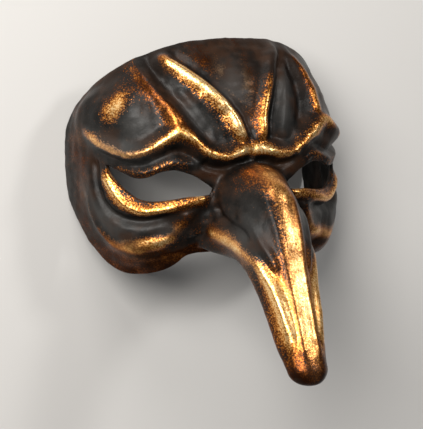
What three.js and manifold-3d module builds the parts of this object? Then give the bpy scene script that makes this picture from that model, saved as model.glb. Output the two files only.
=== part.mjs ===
import * as THREE from 'three';
import { mergeVertices } from 'three/addons/utils/BufferGeometryUtils.js';
import Module from 'manifold-3d';

// A long-nosed carnival half mask of moulded papier-mache: one thin shell with two eye holes and a
// hollow nose. It lies on the side rims of its open back. x runs across the face, y from the end of
// the nose up to the forehead and z out of the face, with the side rims on z = 0. Millimetres.

// Driving dimensions of the shell
const HALF_WIDTH = 88.5;
const DEPTH = 88;
const WALL = 3;
const BRIDGE_Y = 32.75;
const WIDEST_Y = -5;
const DEEPEST_Y = -15;
const WIDTH_FALL = { up: 92.5, down: 160 };
const DEPTH_FALL = { up: 101.5, down: 98 };
const SECTION_SQUARENESS = 0.17;
const NARROWEST = 0.01;

// A place on the face is (a, y): a is the way round from the middle, y the height over the bridge
const ARC = 90;
const SIDE = (ARC * Math.PI) / 2;

// Nose: length along its skin, length of its rounded end, and how the section narrows to the top
const NOSE_RUN = 140;
const CAP_RUN = 22;
const NOSE_TAPER = 0.28;
const NOSE_BOXINESS = 1.15;
const ROOT_BLEND = 0.3;

// Rays from the nose's root to the rim, on the right half from the top down. Each row has the angle
// round the nose's section in degrees, the root's (a, y) and the rim's (a, y).
const RAYS = [
  [90, [0, -9], [0, 67]],
  [74, [9, -10.3], [45, 64]],
  [58, [16, -14], [84, 54.5]],
  [43, [20, -19.5], [114, 40.5]],
  [30, [21.5, -25], [135, 20.5]],
  [18, [22.3, -30], [SIDE, 0]],
  [8, [23.2, -35], [SIDE, -29]],
  [-2, [24.6, -40.5], [132, -48]],
  [-12, [26.3, -45], [115, -66]],
  [-22, [27.8, -49], [93, -77.5]],
  [-32, [29.2, -52.5], [67, -80]],
  [-44, [30.2, -57], [47, -75.3]],
  [-56, [28.5, -60.5], [36, -67]],
  [-70, [17, -62], [20.5, -65.6]],
  [-90, [0, -62.8], [0, -67.5]],
];

// Outline of the right eye hole, and the middle that it is cut square to
const EYE = [
  [95, -11], [84, -13.5], [73, -17], [64, -16.5], [55, -13.2], [46, -12], [38, -14], [31, -17.5],
  [22, -26.5], [38, -28.3], [57, -31.2], [71, -30], [84, -22.5],
];
const EYE_MIDDLE = [57, -21];
const EYE_TURN = 0.57;
const EYE_CUT = 60;
const EYE_SAMPLES = 30;

// Nose stations after the root: ridge (y, z), underside (y, z) and half width
const NOSE_STATIONS = [
  [[-13, 104], [-67.5, 88], 24.5],
  [[-22, 122], [-71.5, 103], 22.5],
  [[-42, 135], [-79, 116.5], 20],
  [[-68, 144.5], [-92, 128], 17.2],
  [[-100, 158], [-112, 142.5], 15],
  [[-119, 166.5], [-125.5, 152.5], 12.5],
];
const NOSE_TIP = [-132, 165];

// Radius of the hollow where the nose meets the face, from the bridge down to the lip, and the
// share of a short ray that it may take up
const ROOT_HOLLOW = [3, 3.5, 5, 9, 13, 9, 4, 3];
const SHORT_RAY = 0.8;

// Folds of one side or of the middle: a line of (a, y) points, its height and the half width of its
// swelling. Modelled by hand, the right cheek stands out further and the right roll starts lower.
const SINGLE_FOLDS = [
  { line: [[-120, 9], [-110, 8], [-92, 1], [-76, -3], [-62, 0], [-49, 7.5], [-41, 11], [-32, 4.5],
    [-24, -2.5], [-14, -4.5], [-4, -1], [4, -1]], height: 5.5, width: 5.8 },
  { line: [[-4, -1], [4, -1], [17, -4.5], [26, -4.5], [35, 0], [43, 5.5], [52, 11], [60, 12.5],
    [72, 7], [86, 2], [106, 2], [124, 6]], height: 4.8, width: 5.8 },
  { line: [[-64, 60], [-57, 53], [-43, 47], [-28, 39], [-17, 29.5], [-10, 20], [-6, 10], [-1, 1]],
    height: 5.2, width: 5.4 },
  { line: [[39, 68], [36, 58], [27, 50], [20, 40], [13, 28], [9, 18], [8, 9], [4, 0]],
    height: 4.6, width: 5.2 },
  { line: [[-90, 58], [-73, 47], [-61, 38], [-52, 29], [-45, 20], [-41, 11]], height: 3.8, width: 5.8 },
  { line: [[43, 63], [50, 54], [55, 44], [56, 34], [55, 24], [53, 12]], height: 3, width: 5 },
  { line: [[-116, 24], [-98, 22], [-80, 24]], height: 5, width: 15 },
  { line: [[-46, 38], [-38, 30], [-30, 19], [-23, 8], [-19, 2]], height: 1.5, width: 4.4 },
  { line: [[34, 50], [30, 40], [27, 30], [24, 20], [21, 10], [19, 3]], height: 2, width: 4.6 },
  { line: [[-80, 59], [-70, 51], [-60, 43], [-48, 34], [-38, 26], [-29, 14], [-20, 0]], height: -3.6,
    width: 4.6 },
  { line: [[50, 64], [47, 52], [44, 40], [42, 30], [38, 20], [32, 8]], height: -2.6, width: 4.4 },
  { line: [[-54, 60], [-46, 55], [-34, 49], [-21, 40], [-11, 30], [-4, 20], [-1, 11], [1, 4]],
    height: -2.4, width: 3 },
  { line: [[45, 62], [41, 54], [33, 46], [25, 37], [18, 27], [14, 18], [12, 8], [12, 2]],
    height: -2.4, width: 3 },
  { line: [[84, 58], [94, 46], [102, 32], [106, 18]], height: -2.4, width: 14 },
  { line: [[-98, -9], [-94, -18], [-86, -29], [-77, -34.5], [-66, -37], [-55, -36],
    [-42, -33], [-31, -30], [-22, -28]], height: 3.9, width: 4.2 },
  { line: [[94, -20.5], [86, -29], [77, -34.5], [66, -37], [55, -36], [42, -33], [31, -30],
    [22, -28]], height: 3.9, width: 4.2 },
  { line: [[-102, -28], [-90, -46], [-74, -61]], height: 4.2, width: 13 },
  { line: [[101, -43], [93, -54], [80, -66]], height: 7.2, width: 13 },
];

// Folds that both sides share, written for the right side
const MIRRORED_FOLDS = [
  { line: [[0, -8], [8, -8.5], [16, -11], [24, -9.5], [31, -6]], height: -3.4, width: 3 },
  { line: [[26, -8.5], [36, -3], [45, 0], [55, -3], [70, -8], [92, -5], [108, -1]],
    height: -2.4, width: 2.8 },
  { line: [[34, -11], [40, -8], [47, -7], [58, -11], [70, -13.5], [84, -10.5], [102, -6]],
    height: 1.8, width: 2.8 },
  { line: [[106, -4], [105, -12], [102, -22], [97, -33], [89, -39.5], [79, -43.5], [67, -44.5],
    [55, -42], [42, -37]], height: -3.6, width: 3.2 },
  { line: [[114, -22], [110, -35], [104, -48], [94, -57], [85, -60.5], [73, -60.5], [60, -58],
    [50, -54], [42, -46], [37, -37], [34, -30]], height: 3.6, width: 5 },
  { line: [[39, -36], [36, -44], [31, -54]], height: 2.5, width: 4.8 },
];

// Folds of the nose, both sides alike: points are (degrees round the section, share of its length)
const NOSE_FOLDS = [
  { line: [[16, 0.04], [6, 0.1], [1, 0.19], [0, 0.28], [3, 0.36], [6, 0.45]], height: -2.4, width: 2.2 },
  { line: [[12, 0.24], [18, 0.38], [24, 0.5], [35, 0.58], [46, 0.66]], height: 1.6, width: 3.2 },
  { line: [[-22, -0.02], [-18, 0.12], [-18, 0.24], [-16, 0.32], [-8, 0.43], [2, 0.53], [12, 0.62],
    [24, 0.7], [33, 0.8], [36, 0.95]], height: 2.6, width: 3.8 },
  { line: [[58, 0.22], [62, 0.5], [66, 0.7], [66, 0.85], [60, 1]], height: 0.9, width: 2.8 },
];
const NOSE_CROWN = { line: [[90, 0.06], [88, 0.3]], height: 2, width: 9 };

// Share of a fold's length over which it rises and dies away at each end. A swelling whose line is
// shorter than this many widths is round at its ends instead.
const FOLD_END = 0.14;
const ROUND_ENDED = 4;

// How the folds fade towards the rim
const RIM_FADE = 14;
const RIM_KEEP = 0.4;

// How the two skins follow the folds. The inside follows the hollows fully, and wider, and the
// ridges only by a share, so that the wall is never thinner than WALL.
const OUTSIDE_RELIEF = { hollowSoftening: 0, ridgeShare: 1 };
const INSIDE_RELIEF = { hollowSoftening: 3.5, ridgeShare: 0.5 };

// Facets: columns round the mask, rows along it and points along a fold
const OUTSIDE = { columns: 112, noseRows: 12, capRows: 3, faceRows: 20 };
const INSIDE = { columns: 72, noseRows: 8, capRows: 2, faceRows: 10 };
const FOLD_SAMPLES = 110;

// The inside skin runs on past the rim, and each skin closes at a point behind the open back
const INSIDE_OVERRUN = 4;
const BACK_CENTRE = { outside: [0, -15, 0], inside: [0, -15, -30] };

const smoothstep = (x) => {
  const t = Math.min(Math.max(x, 0), 1);
  return t * t * (3 - 2 * t);
};

// A smooth curve through rows of two or three numbers, read at 0 to 1
const spline = (rows) => {
  const points = rows.map(([p, q, r = 0]) => new THREE.Vector3(p, q, r));
  const curve = new THREE.CatmullRomCurve3(points, false, 'catmullrom');
  return (u) => curve.getPoint(Math.min(Math.max(u, 0), 1));
};

const fall = (y, centre, { up, down }) => {
  const share = (y - centre) / (y > centre ? up : down);
  return Math.sqrt(Math.max(NARROWEST, 1 - share * share));
};

// The face without its folds: a rounded half section at each height
const facePoint = (a, y) => {
  const angle = a / ARC;
  const sin = Math.sin(angle);
  const cos = Math.cos(angle);
  const width = HALF_WIDTH * fall(y, WIDEST_Y, WIDTH_FALL);
  const depth = DEPTH * fall(y, DEEPEST_Y, DEPTH_FALL);
  return new THREE.Vector3(
    width * sin * (1 + SECTION_SQUARENESS * cos * cos),
    y,
    depth * cos * (1 + SECTION_SQUARENESS * sin * sin),
  );
};

// A turn round the mask runs 0 to 1 down the right side and back up the left
const sideOf = (turn) => (turn <= 0.5 ? 1 : -1);
const downOf = (turn) => (turn <= 0.5 ? 2 * turn : 2 - 2 * turn);
const outline = (rows) => {
  const half = spline(rows);
  return (turn) => {
    const point = half(downOf(turn));
    return [sideOf(turn) * Math.min(point.x, SIDE), point.y];
  };
};
const rimAt = outline(RAYS.map(([, , rim]) => rim));
const rootAt = outline(RAYS.map(([, root]) => root));
const angleCurve = spline(RAYS.map(([angle]) => [angle, 0]));
const sectionAngle = (turn) => THREE.MathUtils.degToRad(angleCurve(downOf(turn)).x);
const hollowAt = spline(ROOT_HOLLOW.map((radius) => [radius, 0]));

// The nose: sections carried from the root to the last station, drawn in to the root's outline
const rootTop = RAYS[0][1][1];
const rootFoot = RAYS.at(-1)[1][1];
const stations = [
  [[rootTop, facePoint(0, rootTop).z], [rootFoot, facePoint(0, rootFoot).z], 25.5],
  ...NOSE_STATIONS,
];
const ridgeAt = spline(stations.map(([ridge]) => ridge));
const undersideAt = spline(stations.map(([, underside]) => underside));
const halfWidthAt = spline(stations.map(([, , half]) => [half, 0]));

const noseSection = (angle, side, along) => {
  const power = 1 / NOSE_BOXINESS;
  const up = Math.sign(Math.sin(angle)) * Math.abs(Math.sin(angle)) ** power;
  const out = Math.abs(Math.cos(angle)) ** power;
  const ridge = ridgeAt(along);
  const underside = undersideAt(along);
  const x = side * halfWidthAt(along).x * out * (1 - NOSE_TAPER * up);
  const y = (ridge.x + underside.x) / 2 + (up * (ridge.x - underside.x)) / 2;
  const z = (ridge.y + underside.y) / 2 + (up * (ridge.y - underside.y)) / 2;
  return new THREE.Vector3(x, y, z);
};
const nosePoint = (turn, along) => {
  const angle = sectionAngle(turn);
  const point = noseSection(angle, sideOf(turn), along);
  const pull = smoothstep(1 - along / ROOT_BLEND);
  const gap = facePoint(...rootAt(turn)).sub(noseSection(angle, sideOf(turn), 0));
  return point.addScaledVector(gap, pull);
};
const noseEnd = (turn, share) => {
  const angle = (Math.min(share, 1) * Math.PI) / 2;
  const edge = nosePoint(turn, 1);
  const ridge = ridgeAt(1);
  const underside = undersideAt(1);
  const centre = new THREE.Vector3(0, (ridge.x + underside.x) / 2, (ridge.y + underside.y) / 2);
  const reach = new THREE.Vector3(0, ...NOSE_TIP).sub(centre);
  const spread = edge.sub(centre).multiplyScalar(Math.cos(angle));
  return centre.add(spread).addScaledVector(reach, Math.sin(angle));
};

// The whole skin: way is 0 at the nose's root, negative along the nose and positive out to the rim
const rayLength = (turn) => {
  const [a, y] = rootAt(turn);
  const [rimA, rimY] = rimAt(turn);
  return Math.hypot(rimA - a, rimY - y);
};
const faceAlong = (turn, way) => {
  const share = way / rayLength(turn);
  const [a, y] = rootAt(turn);
  const [rimA, rimY] = rimAt(turn);
  return facePoint(a + (rimA - a) * share, y + (rimY - y) * share);
};
const skinPoint = (turn, way) => {
  if (way < -NOSE_RUN) {
    return noseEnd(turn, (-way - NOSE_RUN) / CAP_RUN);
  }
  const radius = hollowAt(downOf(turn)).x;
  const before = radius;
  const after = Math.min(radius, SHORT_RAY * rayLength(turn));
  if (way <= -before) {
    return nosePoint(turn, -way / NOSE_RUN);
  }
  if (way >= after) {
    return faceAlong(turn, way);
  }
  const start = nosePoint(turn, before / NOSE_RUN);
  const corner = facePoint(...rootAt(turn));
  const end = faceAlong(turn, after);
  return new THREE.QuadraticBezierCurve3(start, corner, end).getPoint((way + before) / (before + after));
};

// The direction out of the skin, from its slopes both ways
const SLOPE_STEP = 0.4;
const SLOPE_TURN = 0.002;
const outward = (turn, way) => {
  const reach = Math.max(way, -NOSE_RUN - CAP_RUN + 2 * SLOPE_STEP);
  const ahead = skinPoint((turn + SLOPE_TURN) % 1, reach);
  const around = ahead.sub(skinPoint((turn + 1 - SLOPE_TURN) % 1, reach));
  const along = skinPoint(turn, reach + SLOPE_STEP).sub(skinPoint(turn, reach - SLOPE_STEP));
  return around.cross(along).normalize();
};

// Each fold becomes a row of points on the plain skin
const foldLine = ({ line, width }, place) => {
  const curve = spline(line);
  const places = Array.from({ length: FOLD_SAMPLES + 1 }, (_, k) => place(curve(k / FOLD_SAMPLES)));
  const length = places.slice(1).reduce((sum, point, k) => sum + point.distanceTo(places[k]), 0);
  return places.map((point, k) => {
    const share = k / FOLD_SAMPLES;
    const ends = smoothstep(share / FOLD_END) * smoothstep((1 - share) / FOLD_END);
    return { place: point, strength: length < ROUND_ENDED * width ? 1 : ends };
  });
};
const onFace = (side) => (p) => facePoint(side * p.x, p.y);
const downAtAngle = (degrees) => {
  const below = RAYS.findIndex(([angle]) => angle <= degrees);
  const row = Math.max(below, 1);
  const [over, under] = [RAYS[row - 1][0], RAYS[row][0]];
  return (row - 1 + (over - degrees) / (over - under)) / (RAYS.length - 1);
};
const onNose = (side) => (p) => {
  const down = downAtAngle(p.x);
  return nosePoint(side > 0 ? down / 2 : 1 - down / 2, p.y);
};
const folds = [
  ...SINGLE_FOLDS.map((fold) => ({ ...fold, points: foldLine(fold, onFace(1)) })),
  ...[1, -1].flatMap((side) => [
    ...MIRRORED_FOLDS.map((fold) => ({ ...fold, points: foldLine(fold, onFace(side)) })),
    ...NOSE_FOLDS.map((fold) => ({ ...fold, points: foldLine(fold, onNose(side)) })),
  ]),
  { ...NOSE_CROWN, points: foldLine(NOSE_CROWN, onNose(1)) },
];
const foldHeight = (point, { height, width, points }, softening) => {
  const swells = points.map(({ place, strength }) =>
    strength * Math.exp(-place.distanceToSquared(point) / (width + softening) ** 2));
  return height * Math.max(...swells);
};

// Folds that meet flow together, because their cubes are added and not their heights
const together = (heights) => Math.cbrt(heights.reduce((sum, height) => sum + height ** 3, 0));

// Height of all the folds at a point of the skin
const ridges = folds.filter(({ height }) => height > 0);
const hollows = folds.filter(({ height }) => height < 0);
const reliefAt = (point, turn, way, { hollowSoftening, ridgeShare }) => {
  const raised = together(ridges.map((fold) => foldHeight(point, fold, 0)));
  const sunk = together(hollows.map((fold) => foldHeight(point, fold, hollowSoftening)));
  const height = ridgeShare * raised + sunk;
  const rimShare = (RIM_KEEP * Math.max(point.z, 0)) / DEPTH;
  const fade = smoothstep((rayLength(turn) - way) / RIM_FADE);
  return height * (rimShare + (1 - rimShare) * fade);
};
const outsidePoint = (turn, way) => {
  const point = skinPoint(turn, way);
  return point.addScaledVector(outward(turn, way), reliefAt(point, turn, way, OUTSIDE_RELIEF));
};
const insidePoint = (turn, way) => {
  const point = skinPoint(turn, way);
  const relief = reliefAt(point, turn, way, INSIDE_RELIEF);
  return point.addScaledVector(outward(turn, way), relief - WALL);
};

// Ways of the rows from the nose's end to the rim, for one turn. The first ring lies a share of a
// row from the end point.
const FIRST_RING = 0.6;
const noseWays = ({ noseRows, capRows }) => [
  ...Array.from({ length: capRows }, (_, k) =>
    -NOSE_RUN - CAP_RUN * (1 - (k + FIRST_RING) / (capRows + FIRST_RING))),
  ...Array.from({ length: noseRows }, (_, k) => -NOSE_RUN * (1 - k / noseRows)),
];
const faceWays = (turn, { faceRows }, overrun) => {
  const last = rayLength(turn) + overrun;
  return Array.from({ length: faceRows + 1 }, (_, k) => (last * k) / faceRows);
};

// A closed solid: a fine grid over the face, one with half the columns on the nose, and two points,
// one at the nose's end and one behind the open back
const closedSkin = (pointAt, sizes, overrun, centre) => {
  const { columns } = sizes;
  const positions = [];
  const faces = [];
  const put = ({ x, y, z }) => {
    positions.push(x, y + BRIDGE_Y, Math.abs(z) < 1e-6 ? 0 : z);
    return positions.length / 3 - 1;
  };
  const ringOf = (count, wayOf) =>
    Array.from({ length: count }, (_, j) => put(pointAt(j / count, wayOf(j / count))));
  const noseRows = noseWays(sizes);
  const noseRings = noseRows.map((way) => ringOf(columns / 2, () => way));
  const faceRings = faceWays(0, sizes, overrun)
    .map((_, k) => ringOf(columns, (turn) => faceWays(turn, sizes, overrun)[k]));
  const end = put(pointAt(0.25, -NOSE_RUN - CAP_RUN));
  const back = put(new THREE.Vector3(...centre));

  const pointOf = (corner) => new THREE.Vector3().fromArray(positions, 3 * corner);
  const middleOf = (p, q) => pointOf(p).add(pointOf(q)).multiplyScalar(0.5);
  const shift = new THREE.Vector3(0, BRIDGE_Y, 0);

  // Each cell is split along the diagonal that lies nearer the skin at its middle
  const band = (upper, lower, wayOf) => {
    const { length } = upper;
    upper.forEach((corner, j) => {
      const next = (j + 1) % length;
      const turn = (j + 0.5) / length;
      const skin = pointAt(turn, wayOf(turn)).add(shift);
      const falling = skin.distanceTo(middleOf(corner, lower[next]));
      const rising = skin.distanceTo(middleOf(upper[next], lower[j]));
      if (falling < rising) {
        faces.push(corner, upper[next], lower[next], corner, lower[next], lower[j]);
      } else {
        faces.push(corner, upper[next], lower[j], upper[next], lower[next], lower[j]);
      }
    });
  };
  const noseEdge = noseRings.at(-1);
  const faceEdge = faceRings[0];
  noseRings[0].forEach((corner, j, ring) => faces.push(end, ring[(j + 1) % ring.length], corner));
  noseRings.slice(1).forEach((ring, k) => {
    band(noseRings[k], ring, () => (noseRows[k] + noseRows[k + 1]) / 2);
  });
  noseEdge.forEach((corner, j) => {
    const next = noseEdge[(j + 1) % noseEdge.length];
    const [first, middle, last] = [2 * j, 2 * j + 1, 2 * j + 2].map((m) => faceEdge[m % faceEdge.length]);
    faces.push(corner, middle, first, corner, next, middle, next, last, middle);
  });
  faceRings.slice(1).forEach((ring, k) => {
    band(faceRings[k], ring, (turn) => {
      const ways = faceWays(turn, sizes, overrun);
      return (ways[k] + ways[k + 1]) / 2;
    });
  });
  faceRings.at(-1).forEach((corner, j, ring) => faces.push(corner, ring[(j + 1) % ring.length], back));

  const geometry = new THREE.BufferGeometry();
  geometry.setAttribute('position', new THREE.Float32BufferAttribute(positions, 3));
  geometry.setIndex(faces);
  return geometry;
};

// The eye holes are cut straight through the face at the middle of the eye
const eyeCutter = (side) => {
  const middle = facePoint(side * EYE_MIDDLE[0], EYE_MIDDLE[1]);
  const look = new THREE.Vector3(side * Math.sin(EYE_TURN), 0, Math.cos(EYE_TURN));
  const up = new THREE.Vector3(0, 1, 0);
  const across = up.clone().cross(look);
  const places = EYE.map(([a, y]) => new THREE.Vector3(a, y, 0));
  const loop = new THREE.CatmullRomCurve3(places, true, 'catmullrom');
  const corners = Array.from({ length: EYE_SAMPLES }, (_, k) => {
    const place = loop.getPoint(k / EYE_SAMPLES);
    const point = facePoint(side * place.x, place.y).sub(middle);
    return new THREE.Vector2(point.dot(across), point.dot(up));
  });
  const cutter = new THREE.ExtrudeGeometry(new THREE.Shape(corners), { depth: EYE_CUT, bevelEnabled: false });
  cutter.translate(0, 0, -EYE_CUT / 2);
  cutter.applyMatrix4(new THREE.Matrix4().makeBasis(across, up, look));
  cutter.translate(middle.x, middle.y + BRIDGE_Y, middle.z);
  return cutter;
};

const wasm = await Module();
wasm.setup();

const solidOf = (geometry) => {
  geometry.deleteAttribute('normal');
  geometry.deleteAttribute('uv');
  const merged = mergeVertices(geometry);
  const mesh = new wasm.Mesh({
    numProp: 3,
    vertProperties: new Float32Array(merged.attributes.position.array),
    triVerts: new Uint32Array(merged.index.array),
  });
  return new wasm.Manifold(mesh);
};
const geometryOf = (solid) => {
  const { vertProperties, triVerts } = solid.getMesh();
  const geometry = new THREE.BufferGeometry();
  geometry.setAttribute('position', new THREE.BufferAttribute(vertProperties, 3));
  geometry.setIndex(new THREE.BufferAttribute(triVerts, 1));
  return geometry;
};

const body = solidOf(closedSkin(outsidePoint, OUTSIDE, 0, BACK_CENTRE.outside));
const hollow = solidOf(closedSkin(insidePoint, INSIDE, INSIDE_OVERRUN, BACK_CENTRE.inside));
const shell = body.subtract(hollow).subtract(solidOf(eyeCutter(1))).subtract(solidOf(eyeCutter(-1)));

const gildedBlack = new THREE.MeshStandardMaterial({ color: 0x6b4a22, roughness: 0.42, metalness: 0.55 });
const mask = new THREE.Mesh(geometryOf(shell), gildedBlack);
mask.name = 'mask_shell';

const group = new THREE.Group();
group.add(mask);

export default group;
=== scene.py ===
"""Dresses the long-nosed carnival half mask: its papier-mache shell, gilding, floor, lights and camera.

The shell is a surface worked out from two parameters, the turn round the mask and the way from the
root of its nose. Lengths are millimetres and heights on the face are counted from the bridge, until
MaskShell makes them metres and shifts them into the frame.
"""

import logging
import math
from dataclasses import dataclass, field
from enum import Enum
from typing import Sequence

import bpy
import numpy as np
from mathutils import Matrix, Vector


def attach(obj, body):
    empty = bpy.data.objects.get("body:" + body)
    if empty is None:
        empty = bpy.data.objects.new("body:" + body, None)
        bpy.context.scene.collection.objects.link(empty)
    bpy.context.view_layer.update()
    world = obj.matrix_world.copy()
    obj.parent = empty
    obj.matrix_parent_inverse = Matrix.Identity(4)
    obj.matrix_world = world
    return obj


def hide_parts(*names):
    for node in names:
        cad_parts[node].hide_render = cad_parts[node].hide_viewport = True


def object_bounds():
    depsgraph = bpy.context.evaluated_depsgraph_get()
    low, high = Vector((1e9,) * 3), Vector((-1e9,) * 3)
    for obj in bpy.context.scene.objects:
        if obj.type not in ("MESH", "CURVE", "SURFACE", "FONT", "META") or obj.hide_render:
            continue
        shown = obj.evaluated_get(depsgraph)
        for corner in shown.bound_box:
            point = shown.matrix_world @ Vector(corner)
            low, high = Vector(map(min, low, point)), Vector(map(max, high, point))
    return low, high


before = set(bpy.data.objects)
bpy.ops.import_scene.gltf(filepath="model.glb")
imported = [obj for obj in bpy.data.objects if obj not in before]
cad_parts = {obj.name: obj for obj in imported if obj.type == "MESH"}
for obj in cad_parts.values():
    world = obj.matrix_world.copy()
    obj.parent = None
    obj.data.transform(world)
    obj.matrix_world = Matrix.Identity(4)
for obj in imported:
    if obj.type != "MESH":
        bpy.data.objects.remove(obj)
CAD_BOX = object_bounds()

Array = np.ndarray
Spot = tuple[float, float, float]
Colour = tuple[float, float, float, float]
Stops = Sequence[tuple[float, Colour]]
MM = 0.001
TINY = 1e-9
BRIDGE_Y = 32.75
log = logging.getLogger("mask")


def smoothstep(x: Array) -> Array:
    """Eases from 0 to 1 over that range: x squared times three less twice x."""
    t = np.clip(x, 0.0, 1.0)
    return t * t * (3.0 - 2.0 * t)


def unit(v: Array) -> Array:
    """Vectors at a length of one."""
    return v / np.maximum(np.linalg.norm(v, axis=-1, keepdims=True), TINY)


def read_curve(rows: Array, u: Array, closed: bool = False) -> Array:
    """Reads a smooth curve through points.

    Each stretch is the cubic whose slope at a point is half the step between its two neighbours.

    Args:
        rows: points, one a row.
        u: places from 0 at the first point to 1 at the last, or all the way round a closed curve.
        closed: whether the curve comes back to its first point.

    Returns:
        A point for each place.
    """
    count = len(rows) if closed else len(rows) - 1
    if closed:
        padded = np.vstack([rows[-1:], rows, rows[:2]])
        x = (np.asarray(u, float) % 1.0) * count
    else:
        padded = np.vstack([2 * rows[0] - rows[1], rows, 2 * rows[-1] - rows[-2]])
        x = np.clip(np.asarray(u, float), 0.0, 1.0) * count
    first = np.minimum(x.astype(int), count - 1)
    t = (x - first)[..., None]
    p0, p1, p2, p3 = (padded[first + k] for k in range(4))
    square = 2 * p0 - 5 * p1 + 4 * p2 - p3
    return 0.5 * (2 * p1 + (p2 - p0) * t + square * t**2 + (3 * p1 - p0 - 3 * p2 + p3) * t**3)


class Layer(Enum):
    """The two skins of the shell."""

    OUTSIDE = 1.0
    INSIDE = -1.0


class NoseLine(Enum):
    """What runs smoothly through the nose's stations, by its name in a station."""

    RIDGE = "ridge"
    UNDERSIDE = "underside"
    HALF_WIDTH = "half_width"


class Place(Enum):
    """What a fold or a patch lies on, and how its places are counted there.

    On the face a place is (way round, height), and on the nose it is (angle of the section in
    degrees, share of the nose's length). A pair is written for the right side and mirrored to the
    left. Over the crown of the nose the angle is counted from the right.
    """

    FACE = "face, once"
    FACE_PAIR = "face, both sides"
    NOSE_PAIR = "nose, both sides"
    CROWN = "nose, once"

    @property
    def on_face(self) -> bool:
        """Whether it is counted on the face."""
        return self in (Place.FACE, Place.FACE_PAIR)

    @property
    def sides(self) -> tuple[float, ...]:
        """The sides of the mask that have it: 1 for the right and -1 for the left."""
        return (1.0, -1.0) if self in (Place.FACE_PAIR, Place.NOSE_PAIR) else (1.0,)


@dataclass(frozen=True)
class Fold:
    """One modelled fold: a line with a swelling or a hollow along it, and the gold rubbed on it.

    The height is negative for a hollow. The gold is gilt on the crest, from 0 to 1, and falls away
    within the spread.
    """

    line: Sequence[tuple[float, float]]
    height: float
    width: float
    place: Place = Place.FACE
    gilt: float = 0.0
    spread: float = 6.0


@dataclass(frozen=True)
class FaceSheet:
    """The face without its folds. A place on it is (a, y): the way round from the middle and the height.

    It is widest and deepest at heights of their own, and both sizes fall away above and below, over
    the reaches that their falls give.
    """

    half_width: float = 88.5
    depth: float = 88.0
    arc: float = 90.0
    squareness: float = 0.17
    widest_y: float = -5.0
    deepest_y: float = -15.0
    width_fall: tuple[float, float] = (92.5, 160.0)
    depth_fall: tuple[float, float] = (101.5, 98.0)
    narrowest: float = 0.01

    @property
    def side(self) -> float:
        """How far round the side rim lies: a quarter turn."""
        return self.arc * math.pi / 2

    def fall(self, y: Array, centre: float, reach: tuple[float, float]) -> Array:
        """The share of a size left at a height: the root of one less the squared share of its reach."""
        share = (y - centre) / np.where(y > centre, reach[0], reach[1])
        return np.sqrt(np.maximum(self.narrowest, 1.0 - share**2))

    def point(self, a: Array, y: Array) -> Array:
        """Works out points of the face.

        Each height has half an ellipse, made squarer by a term in the sine and cosine of its angle.

        Args:
            a: ways round, negative on the left.
            y: heights.

        Returns:
            Points (x, y, z).
        """
        angle = np.asarray(a, float) / self.arc
        y = np.asarray(y, float)
        sin = np.sin(angle)
        cos = np.cos(angle)
        width = self.half_width * self.fall(y, self.widest_y, self.width_fall)
        depth = self.depth * self.fall(y, self.deepest_y, self.depth_fall)
        x = width * sin * (1 + self.squareness * cos**2)
        z = depth * cos * (1 + self.squareness * sin**2)
        return np.stack([x, y + 0 * x, z], -1)


@dataclass(frozen=True)
class Ray:
    """One ray: its angle round the nose's section in degrees, and its (a, y) at root and rim."""

    angle: float
    root: tuple[float, float]
    rim: tuple[float, float]


@dataclass(frozen=True)
class Rays:
    """Rays from the nose's root to the rim. A turn runs from 0 down the right side and back up the left.

    The rows are rays of the right side from the top down, and the others lie smoothly between them.
    """

    side_rim: float
    rows: tuple[Ray, ...] = (
        Ray(90, (0, -9), (0, 67)),
        Ray(74, (9, -10.3), (45, 64)),
        Ray(58, (16, -14), (84, 54.5)),
        Ray(43, (20, -19.5), (114, 40.5)),
        Ray(30, (21.5, -25), (135, 20.5)),
        Ray(18, (22.3, -30), (141.37, 0)),
        Ray(8, (23.2, -35), (141.37, -29)),
        Ray(-2, (24.6, -40.5), (132, -48)),
        Ray(-12, (26.3, -45), (115, -66)),
        Ray(-22, (27.8, -49), (93, -77.5)),
        Ray(-32, (29.2, -52.5), (67, -80)),
        Ray(-44, (30.2, -57), (47, -75.3)),
        Ray(-56, (28.5, -60.5), (36, -67)),
        Ray(-70, (17, -62), (20.5, -65.6)),
        Ray(-90, (0, -62.8), (0, -67.5)),
    )

    def side(self, turn: Array) -> Array:
        """One on the right side and minus one on the left."""
        return np.where(turn <= 0.5, 1.0, -1.0)

    def down(self, turn: Array) -> Array:
        """The share of the way down its side that a turn has come."""
        return np.where(turn <= 0.5, 2 * turn, 2 - 2 * turn)

    def root(self, turn: Array) -> Array:
        """The (a, y) where a ray leaves the nose."""
        place = read_curve(np.array([row.root for row in self.rows], float), self.down(turn))
        return place * np.stack([self.side(turn), np.ones_like(turn)], -1)

    def rim(self, turn: Array) -> Array:
        """Finds where rays end: on the curve through the rows' ends, no further round than the side rim.

        Args:
            turn: turns of the rays.

        Returns:
            The (a, y) of each end.
        """
        place = read_curve(np.array([row.rim for row in self.rows], float), self.down(turn))
        place[..., 0] = self.side(turn) * np.minimum(place[..., 0], self.side_rim)
        return place

    def angle(self, turn: Array) -> Array:
        """The angle round the nose's section, in radians."""
        rows = np.array([[row.angle] for row in self.rows], float)
        return np.radians(read_curve(rows, self.down(turn))[..., 0])

    def length(self, turn: Array) -> Array:
        """A ray's length on the flat (a, y) plane."""
        return np.linalg.norm(self.rim(turn) - self.root(turn), axis=-1)

    def turn_at(self, degrees: Array, side: float) -> Array:
        """Finds the turn whose ray leaves the nose at an angle, on straight lines between the rows.

        Args:
            degrees: angles of the nose's section.
            side: 1 for the right side and -1 for the left.

        Returns:
            A turn for each angle.
        """
        angles = np.array([row.angle for row in self.rows], float)
        down = np.interp(-np.asarray(degrees, float), -angles, np.linspace(0, 1, len(angles)))
        return down / 2 if side > 0 else 1 - down / 2


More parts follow.
